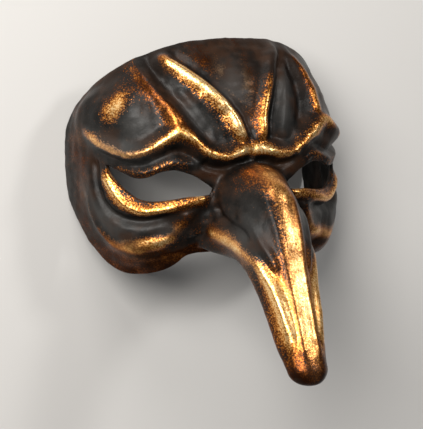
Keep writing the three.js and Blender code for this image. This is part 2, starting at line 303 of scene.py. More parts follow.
@dataclass(frozen=True)
class Station:
    """A section of the nose: the (y, z) of its ridge and its underside, and its half width."""

    ridge: tuple[float, float]
    underside: tuple[float, float]
    half_width: float


@dataclass(frozen=True)
class Skin:
    """The plain skin of the whole mask: face, nose and the hollow between them.

    The way is 0 at the nose's root, negative along the nose and positive out to the rim. The nose's
    run is its length along the skin, and the cap's is that of its rounded end. The hollow's radius is
    given from the bridge down to the lip, and it takes up no more than its share of a short ray.
    """

    face: FaceSheet = field(default_factory=FaceSheet)
    nose_run: float = 140.0
    cap_run: float = 22.0
    taper: float = 0.28
    boxiness: float = 1.15
    root_blend: float = 0.3
    root_half_width: float = 25.5
    stations: tuple[Station, ...] = (
        Station((-13, 104), (-67.5, 88), 24.5),
        Station((-22, 122), (-71.5, 103), 22.5),
        Station((-42, 135), (-79, 116.5), 20),
        Station((-68, 144.5), (-92, 128), 17.2),
        Station((-100, 158), (-112, 142.5), 15),
        Station((-119, 166.5), (-125.5, 152.5), 12.5),
    )
    tip: tuple[float, float] = (-132.0, 165.0)
    root_hollow: tuple[float, ...] = (3, 3.5, 5, 9, 13, 9, 4, 3)
    short_ray: float = 0.8
    slope_step: float = 0.4
    slope_turn: float = 0.002

    @property
    def rays(self) -> Rays:
        """The rays over the face."""
        return Rays(self.face.side)

    @property
    def root_station(self) -> Station:
        """The nose's root on the face, as its first station."""
        ridge, underside = (self.face.point(*self.rays.rows[end].root)[1:] for end in (0, -1))
        return Station(tuple(ridge), tuple(underside), self.root_half_width)

    def nose_line(self, line: NoseLine, along: Array) -> Array:
        """Reads a line of the nose, through its root and its stations.

        Args:
            line: which of the lines.
            along: shares of the nose's length.

        Returns:
            The (y, z) of the ridge or the underside, or the half width, for each share.
        """
        stations = (self.root_station, *self.stations)
        rows = [np.atleast_1d(getattr(station, line.value)) for station in stations]
        return read_curve(np.array(rows, float), along)

    def section(self, angle: Array, side: Array, along: Array) -> Array:
        """Works out points of the nose's section, a boxy ellipse between ridge and underside.

        The sine and cosine of the angle, each to the power of one over the boxiness, give the height
        and the width, and the width is less by the taper's share of the height.

        Args:
            angle: angles round the section, in radians.
            side: 1 for the right side and -1 for the left.
            along: shares of the nose's length.

        Returns:
            Points (x, y, z).
        """
        up = np.sign(np.sin(angle)) * np.abs(np.sin(angle)) ** (1 / self.boxiness)
        out = np.abs(np.cos(angle)) ** (1 / self.boxiness)
        ridge = self.nose_line(NoseLine.RIDGE, along)
        under = self.nose_line(NoseLine.UNDERSIDE, along)
        width = self.nose_line(NoseLine.HALF_WIDTH, along)[..., 0]
        x = side * width * out * (1 - self.taper * up)
        middle = (ridge + under) / 2 + up[..., None] * (ridge - under) / 2
        return np.concatenate([x[..., None], middle], -1)

    def nose(self, turn: Array, along: Array) -> Array:
        """Works out points of the nose.

        They are its sections, moved near the root by the gap between the first section and the
        root's outline on the face, which eases away over the root's blend.

        Args:
            turn: turns round the mask.
            along: shares of the nose's length.

        Returns:
            Points (x, y, z).
        """
        angle = self.rays.angle(turn)
        side = self.rays.side(turn)
        root = self.rays.root(turn)
        gap = self.face.point(root[..., 0], root[..., 1]) - self.section(angle, side, 0.0 * along)
        pull = smoothstep(1 - along / self.root_blend)
        return self.section(angle, side, along) + pull[..., None] * gap

    def nose_end(self, turn: Array, share: Array) -> Array:
        """Works out points of the nose's end: a quarter ellipse from its last section to its tip.

        Args:
            turn: turns round the mask.
            share: shares of the way from the last section to the tip.

        Returns:
            Points (x, y, z).
        """
        angle = np.clip(share, 0.0, 1.0) * math.pi / 2
        last = np.ones_like(share)
        ridge, under = (self.nose_line(line, 1.0) for line in (NoseLine.RIDGE, NoseLine.UNDERSIDE))
        centre = np.concatenate([[0.0], (ridge + under) / 2])
        reach = np.array([0.0, *self.tip]) - centre
        spread = self.nose(turn, last) - centre
        return centre + spread * np.cos(angle)[..., None] + reach * np.sin(angle)[..., None]

    def place(self, turn: Array, way: Array) -> Array:
        """The (a, y) on the face at a way along a ray."""
        root = self.rays.root(turn)
        return root + (self.rays.rim(turn) - root) * (way / self.rays.length(turn))[..., None]

    def along_face(self, turn: Array, way: Array) -> Array:
        """Points of the face at a way along a ray."""
        place = self.place(turn, way)
        return self.face.point(place[..., 0], place[..., 1])

    def point(self, turn: Array, way: Array) -> Array:
        """Works out points of the plain skin.

        Face and nose meet in a quadratic curve, whose corner is the nose's root and whose ends lie
        the hollow's radius to both sides of it.

        Args:
            turn: turns round the mask.
            way: ways from the root.

        Returns:
            Points (x, y, z).
        """
        turn, way = (np.array(v, float) for v in np.broadcast_arrays(turn, way))
        hollow = np.array([[radius] for radius in self.root_hollow], float)
        before = read_curve(hollow, self.rays.down(turn))[..., 0]
        after = np.minimum(before, self.short_ray * self.rays.length(turn))
        nose = self.nose(turn, np.clip(-way / self.nose_run, 0.0, 1.0))
        end = self.nose_end(turn, (-way - self.nose_run) / self.cap_run)
        points = np.where((way < -self.nose_run)[..., None], end, nose)
        points = np.where((way >= after)[..., None], self.along_face(turn, way), points)
        t = ((way + before) / (before + after))[..., None]
        root = self.rays.root(turn)
        corner = self.face.point(root[..., 0], root[..., 1])
        start = self.nose(turn, before / self.nose_run)
        bend = (1 - t) ** 2 * start + 2 * t * (1 - t) * corner + t**2 * self.along_face(turn, after)
        return np.where(((way > -before) & (way < after))[..., None], bend, points)

    def outward(self, turn: Array, way: Array) -> Array:
        """Works out directions out of the skin: the cross product of its slopes round and along.

        Args:
            turn: turns round the mask.
            way: ways from the root, which stop short of the tip.

        Returns:
            Directions of length one.
        """
        reach = np.maximum(way, 2 * self.slope_step - self.nose_run - self.cap_run)
        ahead = self.point((turn + self.slope_turn) % 1, reach)
        behind = self.point((turn + 1 - self.slope_turn) % 1, reach)
        along = self.point(turn, reach + self.slope_step) - self.point(turn, reach - self.slope_step)
        return unit(np.cross(ahead - behind, along))


FOLDS = (
    # The brows, left and right
    Fold(((-120, 9), (-110, 8), (-92, 1), (-76, -3), (-62, 0), (-49, 7.5), (-41, 11), (-32, 4.5),
          (-24, -2.5), (-14, -4.5), (-4, -1), (4, -1)), 5.5, 5.8, gilt=0.78, spread=2.5),
    Fold(((-4, -1), (4, -1), (17, -4.5), (26, -4.5), (35, 0), (43, 5.5), (52, 11), (60, 12.5),
          (72, 7), (86, 2), (106, 2), (124, 6)), 4.8, 5.8, gilt=0.82, spread=3.6),
    # The two ridges that meet in a V over the nose
    Fold(((-64, 60), (-57, 53), (-43, 47), (-28, 39), (-17, 29.5), (-10, 20), (-6, 10), (-1, 1)),
         5.2, 5.4, gilt=1.0, spread=5.6),
    Fold(((39, 68), (36, 58), (27, 50), (20, 40), (13, 28), (9, 18), (8, 9), (4, 0)),
         4.6, 5.2, gilt=0.72, spread=3.2),
    # The side ridges of the forehead and its left bulge
    Fold(((-90, 58), (-73, 47), (-61, 38), (-52, 29), (-45, 20), (-41, 11)), 3.8, 5.8,
         gilt=0.4, spread=8.5),
    Fold(((43, 63), (50, 54), (55, 44), (56, 34), (55, 24), (53, 12)), 3.0, 5.0, gilt=0.75, spread=4.2),
    Fold(((-116, 24), (-98, 22), (-80, 24)), 5.0, 15.0),
    # Low ridges and hollows beside the V, and the dent
    Fold(((-46, 38), (-38, 30), (-30, 19), (-23, 8), (-19, 2)), 1.5, 4.4),
    Fold(((34, 50), (30, 40), (27, 30), (24, 20), (21, 10), (19, 3)), 2.0, 4.6),
    Fold(((-80, 59), (-70, 51), (-60, 43), (-48, 34), (-38, 26), (-29, 14), (-20, 0)), -3.6, 4.6),
    Fold(((50, 64), (47, 52), (44, 40), (42, 30), (38, 20), (32, 8)), -2.6, 4.4),
    Fold(((-54, 60), (-46, 55), (-34, 49), (-21, 40), (-11, 30), (-4, 20), (-1, 11), (1, 4)), -2.4, 3.0),
    Fold(((45, 62), (41, 54), (33, 46), (25, 37), (18, 27), (14, 18), (12, 8), (12, 2)), -2.4, 3.0),
    Fold(((84, 58), (94, 46), (102, 32), (106, 18)), -2.4, 14.0),
    # The rolls under the eyes and the bulging cheeks
    Fold(((-98, -9), (-94, -18), (-86, -29), (-77, -34.5), (-66, -37), (-55, -36),
          (-42, -33), (-31, -30), (-22, -28)), 3.9, 4.2, gilt=0.84, spread=4.0),
    Fold(((94, -20.5), (86, -29), (77, -34.5), (66, -37), (55, -36), (42, -33), (31, -30),
          (22, -28)), 3.9, 4.2, gilt=0.84, spread=4.0),
    Fold(((-102, -28), (-90, -46), (-74, -61)), 4.2, 13.0),
    Fold(((101, -43), (93, -54), (80, -66)), 7.2, 13.0),
    # The crease over the nose's root, and the crease and roll of the upper lid
    Fold(((0, -8), (8, -8.5), (16, -11), (24, -9.5), (31, -6)), -3.4, 3.0, Place.FACE_PAIR),
    Fold(((26, -8.5), (36, -3), (45, 0), (55, -3), (70, -8), (92, -5), (108, -1)), -2.4, 2.8,
         Place.FACE_PAIR),
    Fold(((34, -11), (40, -8), (47, -7), (58, -11), (70, -13.5), (84, -10.5), (102, -6)),
         1.8, 2.8, Place.FACE_PAIR, gilt=0.3, spread=4.0),
    # The crease under the eye, the cheek ridge and its end beside the nose
    Fold(((106, -4), (105, -12), (102, -22), (97, -33), (89, -39.5), (79, -43.5), (67, -44.5),
          (55, -42), (42, -37)), -3.6, 3.2, Place.FACE_PAIR),
    Fold(((114, -22), (110, -35), (104, -48), (94, -57), (85, -60.5), (73, -60.5), (60, -58),
          (50, -54), (42, -46), (37, -37), (34, -30)), 3.6, 5.0, Place.FACE_PAIR, gilt=0.74, spread=3.4),
    Fold(((39, -36), (36, -44), (31, -54)), 2.5, 4.8, Place.FACE_PAIR, gilt=0.3, spread=7.0),
    # The creases and ridges of the nose's flanks, and the swelling on its ridge
    Fold(((16, 0.04), (6, 0.1), (1, 0.19), (0, 0.28), (3, 0.36), (6, 0.45)), -2.4, 2.2, Place.NOSE_PAIR),
    Fold(((12, 0.24), (18, 0.38), (24, 0.5), (35, 0.58), (46, 0.66)), 1.6, 3.2, Place.NOSE_PAIR),
    Fold(((-22, -0.02), (-18, 0.12), (-18, 0.24), (-16, 0.32), (-8, 0.43), (2, 0.53), (12, 0.62),
          (24, 0.7), (33, 0.8), (36, 0.95)), 2.6, 3.8, Place.NOSE_PAIR, gilt=0.9, spread=3.8),
    Fold(((58, 0.22), (62, 0.5), (66, 0.7), (66, 0.85), (60, 1)), 0.9, 2.8, Place.NOSE_PAIR),
    Fold(((90, 0.06), (88, 0.3)), 2.0, 9.0, Place.CROWN),
)


@dataclass
class Relief:
    """The folds laid on the skin.

    The fold's end is the share of its length over which it rises or dies away, and a line shorter
    than a blob's number of widths is a blob. Folds fade over some way from the rim, where the deepest
    face keeps a share of them. The halo is the share of the gold that spreads wider than the rest, by
    the halo's width. A fold counts as far as the cut-off's number of its widths, or of its gold's
    spread times the halo's margin, beyond the box round its line.
    """

    skin: Skin
    folds: Sequence[Fold] = FOLDS
    samples: int = 49
    fold_end: float = 0.14
    rim_fade: float = 14.0
    rim_keep: float = 0.4
    cut_off: float = 3.0
    blob: float = 4.0
    halo: float = 0.36
    halo_width: float = 2.1
    halo_margin: float = 1.4
    chunk: int = 20000

    def __post_init__(self) -> None:
        """Lays every line on the skin once."""
        self.lines = [(fold, line) for fold in self.folds for line in self.lay(fold)]

    def lay(self, fold: Fold) -> list[Array]:
        """Lays a fold's line on the skin: a smooth curve through its places.

        Args:
            fold: the fold.

        Returns:
            The line's points, once for each side that has it.
        """
        rows = read_curve(np.array(fold.line, float), np.linspace(0, 1, self.samples))
        if fold.place.on_face:
            return [self.skin.face.point(side * rows[:, 0], rows[:, 1]) for side in fold.place.sides]
        turns = [self.skin.rays.turn_at(rows[:, 0], side) for side in fold.place.sides]
        return [self.skin.nose(turn, rows[:, 1]) for turn in turns]

    def reach(self, points: Array, line: Array) -> tuple[Array, Array]:
        """Finds how near points lie to a line and how strong the fold is there.

        The distance is to the nearest place on the nearest stretch of the line, and the strength
        eases from 0 at each end of the line to 1 within a share of its length.

        Args:
            points: points, one a row.
            line: the line's points.

        Returns:
            Distances and strengths.
        """
        start = line[:-1]
        step = line[1:] - start
        length = np.maximum((step**2).sum(-1), TINY)
        distances = []
        places = []
        for first in range(0, len(points), self.chunk):
            gap = points[first:first + self.chunk, None, :] - start
            share = np.clip((gap * step).sum(-1) / length, 0.0, 1.0)
            far = ((gap - share[..., None] * step) ** 2).sum(-1)
            nearest = far.argmin(1)
            rows = np.arange(len(far))
            distances.append(np.sqrt(far[rows, nearest]))
            places.append((nearest + share[rows, nearest]) / len(step))
        place = np.concatenate(places)
        strength = smoothstep(place / self.fold_end) * smoothstep((1 - place) / self.fold_end)
        return np.concatenate(distances), strength

    def read(self, points: Array, softening: float) -> tuple[Array, Array, Array]:
        """Reads the folds at points of the plain skin.

        A fold swells as the exponential of minus its squared distance over its squared width, and
        folds that meet flow together, because their cubes are added. A line that is short for its
        width is a blob, with its full height at both ends. The gold is the most that any fold's own
        gilding gives there: the same kind of swelling, in part spread wider as a halo.

        Args:
            points: points of the skin, one a row.
            softening: what the hollows' widths grow by.

        Returns:
            Height of the ridges, depth of the hollows and the gold on the ridges.
        """
        raised, sunk, gold = np.zeros((3, len(points)))
        for fold, line in self.lines:
            width = fold.width + (softening if fold.height < 0 else 0.0)
            margin = self.cut_off * max(width, self.halo_margin * fold.spread if fold.gilt > 0 else 0.0)
            within = (points > line.min(0) - margin) & (points < line.max(0) + margin)
            near = np.flatnonzero(within.all(-1))
            if not len(near):
                continue
            distance, strength = self.reach(points[near], line)
            if np.linalg.norm(np.diff(line, axis=0), axis=-1).sum() < self.blob * fold.width:
                strength = np.ones_like(strength)
            swell = abs(fold.height) * strength * np.exp(-((distance / width) ** 2))
            (raised if fold.height > 0 else sunk)[near] += swell**3
            crest = np.exp(-((distance / fold.spread) ** 2))
            halo = np.exp(-((distance / fold.spread / self.halo_width) ** 2))
            rubbed = fold.gilt * strength * (crest + self.halo * (halo - crest))
            gold[near] = np.maximum(gold[near], rubbed)
        return np.cbrt(raised), np.cbrt(sunk), gold

    def fade(self, points: Array, turn: Array, way: Array) -> Array:
        """What is left of the folds near the rim, more where the face is deep."""
        kept = self.rim_keep * np.maximum(points[:, 2], 0.0) / self.skin.face.depth
        return kept + (1 - kept) * smoothstep((self.skin.rays.length(turn) - way) / self.rim_fade)


@dataclass(frozen=True)
class EyeHole:
    """The right eye hole's outline, opened out of a slit between two columns of the shell.

    The edges are how far the rounds of the hole and of the rim stand out. The grid gives the Newton
    steps their first guesses, between two turns and between two shares of the rays.
    """

    skin: Skin
    outline: tuple[tuple[float, float], ...] = (
        (95, -11), (84, -13.5), (73, -17), (64, -16.5), (55, -13.2), (46, -12), (38, -14), (31, -17.5),
        (22, -26.5), (38, -28.3), (57, -31.2), (71, -30), (84, -22.5),
    )
    samples: int = 240
    edge: float = 1.2
    rim_edge: float = 1.5
    inner_share: float = 0.004
    grid_turns: tuple[float, float] = (0.08, 0.26)
    grid_shares: tuple[float, float] = (0.0, 0.75)
    grid_count: int = 120
    newton_step: float = 1e-4
    newton_steps: int = 12

    def loop(self) -> Array:
        """Works out the outline: a closed curve moved outwards, across itself, by the round of its edge.

        Returns:
            The outline as (a, y) points.
        """
        u = np.arange(self.samples) / self.samples
        place = read_curve(np.array(self.outline, float), u, closed=True)
        tangent = unit(np.roll(place, -1, 0) - np.roll(place, 1, 0))
        out = np.stack([tangent[:, 1], -tangent[:, 0]], -1)
        away = np.sign(((place - place.mean(0)) * out).sum(-1).sum())
        return place + away * self.edge * out

    def as_shares(self) -> tuple[Array, Array]:
        """Finds the outline on the rays, by Newton steps from the nearest point of a grid.

        A step is the miss in (a, y) divided by the slopes with turn and with share, as two equations
        in two unknowns.

        Returns:
            The turn and the share of the ray for each point of the outline.
        """
        place = self.loop()
        grid = (np.linspace(*ends, self.grid_count) for ends in (self.grid_turns, self.grid_shares))
        turns, shares = np.meshgrid(*grid)
        table = self.spot(turns.ravel(), shares.ravel())
        nearest = ((place[:, None, :] - table) ** 2).sum(-1).argmin(1)
        turn = turns.ravel()[nearest]
        share = shares.ravel()[nearest]
        step = self.newton_step
        for _ in range(self.newton_steps):
            here = self.spot(turn, share)
            by_turn = (self.spot(turn + step, share) - here) / step
            by_share = (self.spot(turn, share + step) - here) / step
            miss = place - here
            area = by_turn[:, 0] * by_share[:, 1] - by_turn[:, 1] * by_share[:, 0]
            turn = turn + (miss[:, 0] * by_share[:, 1] - miss[:, 1] * by_share[:, 0]) / area
            share = share + (by_turn[:, 0] * miss[:, 1] - by_turn[:, 1] * miss[:, 0]) / area
        return turn, share

    def spot(self, turn: Array, share: Array) -> Array:
        """The (a, y) at a share of a ray less its rounded edge."""
        return self.skin.place(turn, share * (self.skin.rays.length(turn) - self.rim_edge))

    def lids(self) -> tuple[Array, Array]:
        """Parts the outline at its corners, where the share is least and most.

        Returns:
            The upper and the lower lid as rows of (share, turn), from the inner to the outer corner.
        """
        turn, share = self.as_shares()
        share = np.maximum(share, self.inner_share)
        inner = share.argmin()
        outer = share.argmax()
        ring = np.stack([share, turn], -1)
        one = np.roll(ring, -inner, 0)[: (outer - inner) % len(ring) + 1]
        other = np.roll(ring, -outer, 0)[: (inner - outer) % len(ring) + 1][::-1]
        upper, lower = sorted((one, other), key=lambda lid: lid[:, 1].mean())
        return upper[upper[:, 0].argsort(kind="stable")], lower[lower[:, 0].argsort(kind="stable")]


@dataclass
class Net:
    """Vertices of the shell by turn, way and layer, and the faces between them."""

    turns: list[Array] = field(default_factory=list)
    ways: list[Array] = field(default_factory=list)
    layers: list[Array] = field(default_factory=list)
    faces: list[Array] = field(default_factory=list)
    count: int = 0

    def add(self, turn: Array, way: Array, layer: Layer) -> Array:
        """Adds vertices.

        Args:
            turn: turns round the mask.
            way: ways from the root.
            layer: the skin that they lie on.

        Returns:
            The vertices' numbers, in the shape that turn and way have together.
        """
        turn, way = (np.array(v, float) for v in np.broadcast_arrays(turn, way))
        self.turns.append(turn.ravel())
        self.ways.append(way.ravel())
        self.layers.append(np.full(turn.size, layer.value))
        ids = self.count + np.arange(turn.size).reshape(turn.shape)
        self.count += turn.size
        return ids

    def quads(self, a: Array, b: Array, c: Array, d: Array) -> None:
        """Adds two triangles for every four vertices that go round a quad."""
        self.faces.append(np.stack([a, b, c], -1).reshape(-1, 3))
        self.faces.append(np.stack([a, c, d], -1).reshape(-1, 3))

    def band(self, rows: Array, forward: Array | None = None) -> None:
        """Joins rows of a closed band, whose columns may see other vertices forward than back."""
        ahead = np.roll(rows if forward is None else forward, -1, 1)
        self.quads(rows[:-1], ahead[:-1], ahead[1:], rows[1:])

    def stitch(self, fine: Array, coarse: Array, coarse_first: bool) -> None:
        """Joins a ring to one with half its vertices, three triangles for each of the coarse ones.

        Args:
            fine: vertices of the full ring.
            coarse: vertices of the half ring.
            coarse_first: whether the half ring comes first along the way.
        """
        even = fine[0::2]
        odd = fine[1::2]
        next_even = np.roll(even, -1)
        next_coarse = np.roll(coarse, -1)
        corners = [(coarse, odd, even), (coarse, next_coarse, odd), (next_coarse, next_even, odd)]
        for a, b, c in corners:
            self.faces.append(np.stack([a, b, c] if coarse_first else [a, c, b], -1))

    def close(self, ring: Array, pole: Array, pole_first: bool) -> None:
        """Closes a ring with a fan of triangles.

        Args:
            ring: vertices of the ring.
            pole: the vertex at the fan's middle.
            pole_first: whether the pole comes first along the way.
        """
        ahead = np.roll(ring, -1)
        pole = np.broadcast_to(pole, ring.shape)
        self.faces.append(np.stack([pole, ahead, ring] if pole_first else [ring, ahead, pole], -1))


@dataclass
class ShellNet:
    """Sets out the shell's vertices, with each eye hole opened out of a slit between two columns.

    The outside has every column from its root band to the rim, and every other one further along the
    nose, as the whole inside has. The slit is a turn, the window's two turns are those between which
    columns are drawn aside for the eye, and the columns of the nose ease back over the nose's fade.
    """

    skin: Skin
    eye: EyeHole
    columns: int = 368
    eye_rows: int = 56
    side_rows: int = 38
    root_rows: int = 15
    nose_rows: int = 88
    cap_rows: int = 12
    inner_rows: int = 42
    root_band: float = 18.0
    slit: float = 0.157
    window: tuple[float, float] = (0.045, 0.3)
    easing: float = 1.5
    nose_fade: float = 30.0
    crowding: float = 0.6
    survey: int = 1500
    surveyed: tuple[float, ...] = (0.0, 0.35, 1.0)
    inner_corner: int = 1

    def __post_init__(self) -> None:
        """Spreads the columns and finds the slit's."""
        self.net = Net()
        self.turns = self.spread_columns()
        self.slit_column = 2 * int(np.abs(self.turns[: self.columns // 2 : 2] - self.slit).argmin())
        self.upper, self.lower = self.eye.lids()

    @property
    def outer_corner(self) -> int:
        """The face's row that ends the eye hole."""
        return self.inner_corner + self.eye_rows

    def spread_columns(self) -> Array:
        """Spreads the columns by the mean of the shares run along the surveyed lines, from root to rim.

        Returns:
            The turns of the columns.
        """
        down = np.linspace(0, 0.5, self.survey)
        run = np.zeros(self.survey)
        for share in self.surveyed:
            line = self.skin.point(down, share * self.skin.rays.length(down))
            steps = np.linalg.norm(np.diff(line, axis=0), axis=-1)
            run[1:] += np.cumsum(steps) / steps.sum()
        half = np.interp(np.linspace(0, run[-1], self.columns // 2 + 1), run, down)
        return np.concatenate([half, 1 - half[-2:0:-1]])

    def bend(self, upper: Array, lower: Array) -> Array:
        """Draws the columns of both sides from the slit to the lids.

        The columns at the slit move all the way, and the others less and less to the window's ends:
        by their share of the way from the end, to the power of the easing.

        Args:
            upper: the turn of the upper lid for each row.
            lower: the turn of the lower lid for each row.

        Returns:
            Turns, one row of columns after another.
        """
        half = self.turns[: self.columns // 2 + 1]
        slit = self.turns[self.slit_column]
        above = np.clip((half - self.window[0]) / (slit - self.window[0]), 0, 1) ** self.easing
        below = np.clip((self.window[1] - half) / (self.window[1] - slit), 0, 1) ** self.easing
        drawn = np.where(half <= slit, (upper[:, None] - slit) * above, (lower[:, None] - slit) * below)
        turn = half + drawn
        return np.concatenate([turn, 1 - turn[:, -2:0:-1]], 1)

    def face_shares(self) -> Array:
        """Sets out the face's rows, which crowd at both corners of the eye as a cosine does at its ends.

        Returns:
            Shares of the rays, from the root to the rim.
        """
        x = np.linspace(0, 1, self.eye_rows + 1)
        crowd = (1 - self.crowding) * x + self.crowding * (1 - np.cos(math.pi * x)) / 2
        inner = self.upper[0, 0]
        outer = max(self.upper[-1, 0], self.lower[-1, 0])
        across = inner + (outer - inner) * crowd
        beyond = outer + (1 - outer) * np.linspace(0, 1, self.side_rows + 1)[1:]
        return np.concatenate([[0.0], across, beyond])

    def lid_turns(self, shares: Array, lid: Array) -> Array:
        """Reads a lid for each row, and eases from the outer corner back to the slit's own turn.

        Args:
            shares: the rows' shares of the rays.
            lid: the lid as rows of (share, turn).

        Returns:
            A turn for each row.
        """
        slit = self.turns[self.slit_column]
        corner = (self.upper[-1, 1] + self.lower[-1, 1]) / 2
        outer = max(self.upper[-1, 0], self.lower[-1, 0])
        back = corner + (slit - corner) * smoothstep((shares - outer) / (1 - outer))
        return np.where(shares < outer, np.interp(shares, lid[:, 0], lid[:, 1]), back)

    def root_turns(self, ways: Array) -> Array:
        """Draws the columns on the nose, easing from the inner corner to the slit's own turn.

        Args:
            ways: the rows' ways from the root.

        Returns:
            Turns, one row of columns after another.
        """
        slit = self.turns[self.slit_column]
        corner = (self.upper[0, 1] + self.lower[0, 1]) / 2
        drawn = corner + (slit - corner) * smoothstep(-ways / self.nose_fade)
        return self.bend(drawn, drawn)

    def face(self, step: int, layer: Layer) -> tuple[Array, list[Array]]:
        """Sets out and joins the face's rows.

        Args:
            step: 1 for every column, 2 for every other one.
            layer: the skin that they lie on.

        Returns:
            The vertices of the rows, and the closed loop round each eye hole.
        """
        shares = self.face_shares()
        lids = [self.lid_turns(shares, lid) for lid in (self.upper, self.lower)]
        turn = self.bend(*lids)[:, ::step]
        rows = self.net.add(turn, self.ways(turn, shares[:, None]), layer)
        opening = slice(self.inner_corner + 1, self.outer_corner)
        low = lids[1][opening]
        right = self.net.add(low, self.ways(low, shares[opening]), layer)
        left = self.net.add(1 - low, self.ways(1 - low, shares[opening]), layer)
        column = self.slit_column // step
        mirrored = rows.shape[1] - column
        behind = rows.copy()
        behind[opening, column] = right
        ahead = rows.copy()
        ahead[opening, mirrored] = left
        self.join(behind, ahead, layer)
        lid = rows[self.outer_corner : self.inner_corner - 1 : -1]
        right_loop = np.concatenate([lid[:, column], right])
        left_loop = np.concatenate([lid[:, mirrored], left])
        return rows, [right_loop, left_loop[::-1]]

    def ways(self, turn: Array, share: Array) -> Array:
        """The way at a share of a ray less its rounded edge."""
        return share * (self.skin.rays.length(turn) - self.eye.rim_edge)

    def join(self, behind: Array, ahead: Array, layer: Layer) -> None:
        """Joins rows so that their faces point out on the outside and in on the inside.

        Args:
            behind: vertices of the rows, as the column after them sees them.
            ahead: the same vertices as the column before them sees them.
            layer: the skin that they lie on.
        """
        if layer is Layer.OUTSIDE:
            self.net.band(behind, ahead)
        else:
            self.net.band(behind[::-1], ahead[::-1])

    def nose(self, along: Array, layer: Layer) -> Array:
        """Sets out and joins the nose's rows, with every other column, and closes them at the tip.

        Args:
            along: the rows' ways, after those of the rounded end.
            layer: the skin that they lie on.

        Returns:
            The last row's vertices.
        """
        tip_way = -self.skin.nose_run - self.skin.cap_run
        end = np.linspace(tip_way, -self.skin.nose_run, self.cap_rows + 1)[1:-1]
        ways = np.concatenate([end, along])
        rows = self.net.add(self.root_turns(ways)[:, ::2], ways[:, None], layer)
        tip = self.net.add(np.zeros(1), np.full(1, tip_way), layer)
        self.net.close(rows[0], tip, layer is Layer.OUTSIDE)
        self.join(rows, rows, layer)
        return rows[-1]

    def outside(self) -> tuple[Array, list[Array]]:
        """Sets out the outside from the tip to the rim.

        Returns:
            The rim's vertices, and the loop round each eye hole.
        """
        ways = np.linspace(-self.skin.nose_run, -self.root_band, self.nose_rows)
        nose = self.nose(ways, Layer.OUTSIDE)
        near = np.linspace(-self.root_band, 0, self.root_rows + 2)[1:-1]
        root = self.net.add(self.root_turns(near), near[:, None], Layer.OUTSIDE)
        self.net.stitch(root[0], nose, True)
        self.join(root, root, Layer.OUTSIDE)
        rows, loops = self.face(1, Layer.OUTSIDE)
        joint = np.stack([root[-1], rows[0]])
        self.join(joint, joint, Layer.OUTSIDE)
        return rows[-1], loops

    def inside(self) -> tuple[Array, list[Array]]:
        """Sets out the inside from the tip to the rim, with every other column.

        Returns:
            The rim's vertices, and the loop round each eye hole.
        """
        ways = np.linspace(-self.skin.nose_run, 0, self.inner_rows + 1)[:-1]
        nose = self.nose(ways, Layer.INSIDE)
        rows, loops = self.face(2, Layer.INSIDE)
        joint = np.stack([nose, rows[0]])
        self.join(joint, joint, Layer.INSIDE)
        return rows[-1], loops


@dataclass(frozen=True)
class Patch:
    """An oval of the skin where the finish differs, by place, middle, half sizes and slope in degrees.

    Gold adds to the gilding or takes from it and warm turns it to copper. The last amount lifts the lacquer
    toward graphite: dusting in some patches, painted sheen in others.
    """

    place: Place
    middle: tuple[float, float]
    size: tuple[float, float]
    slope: float = 0.0
    gold: float = 0.0
    warm: float = 0.0
    dust_and_sheen: float = 0.0


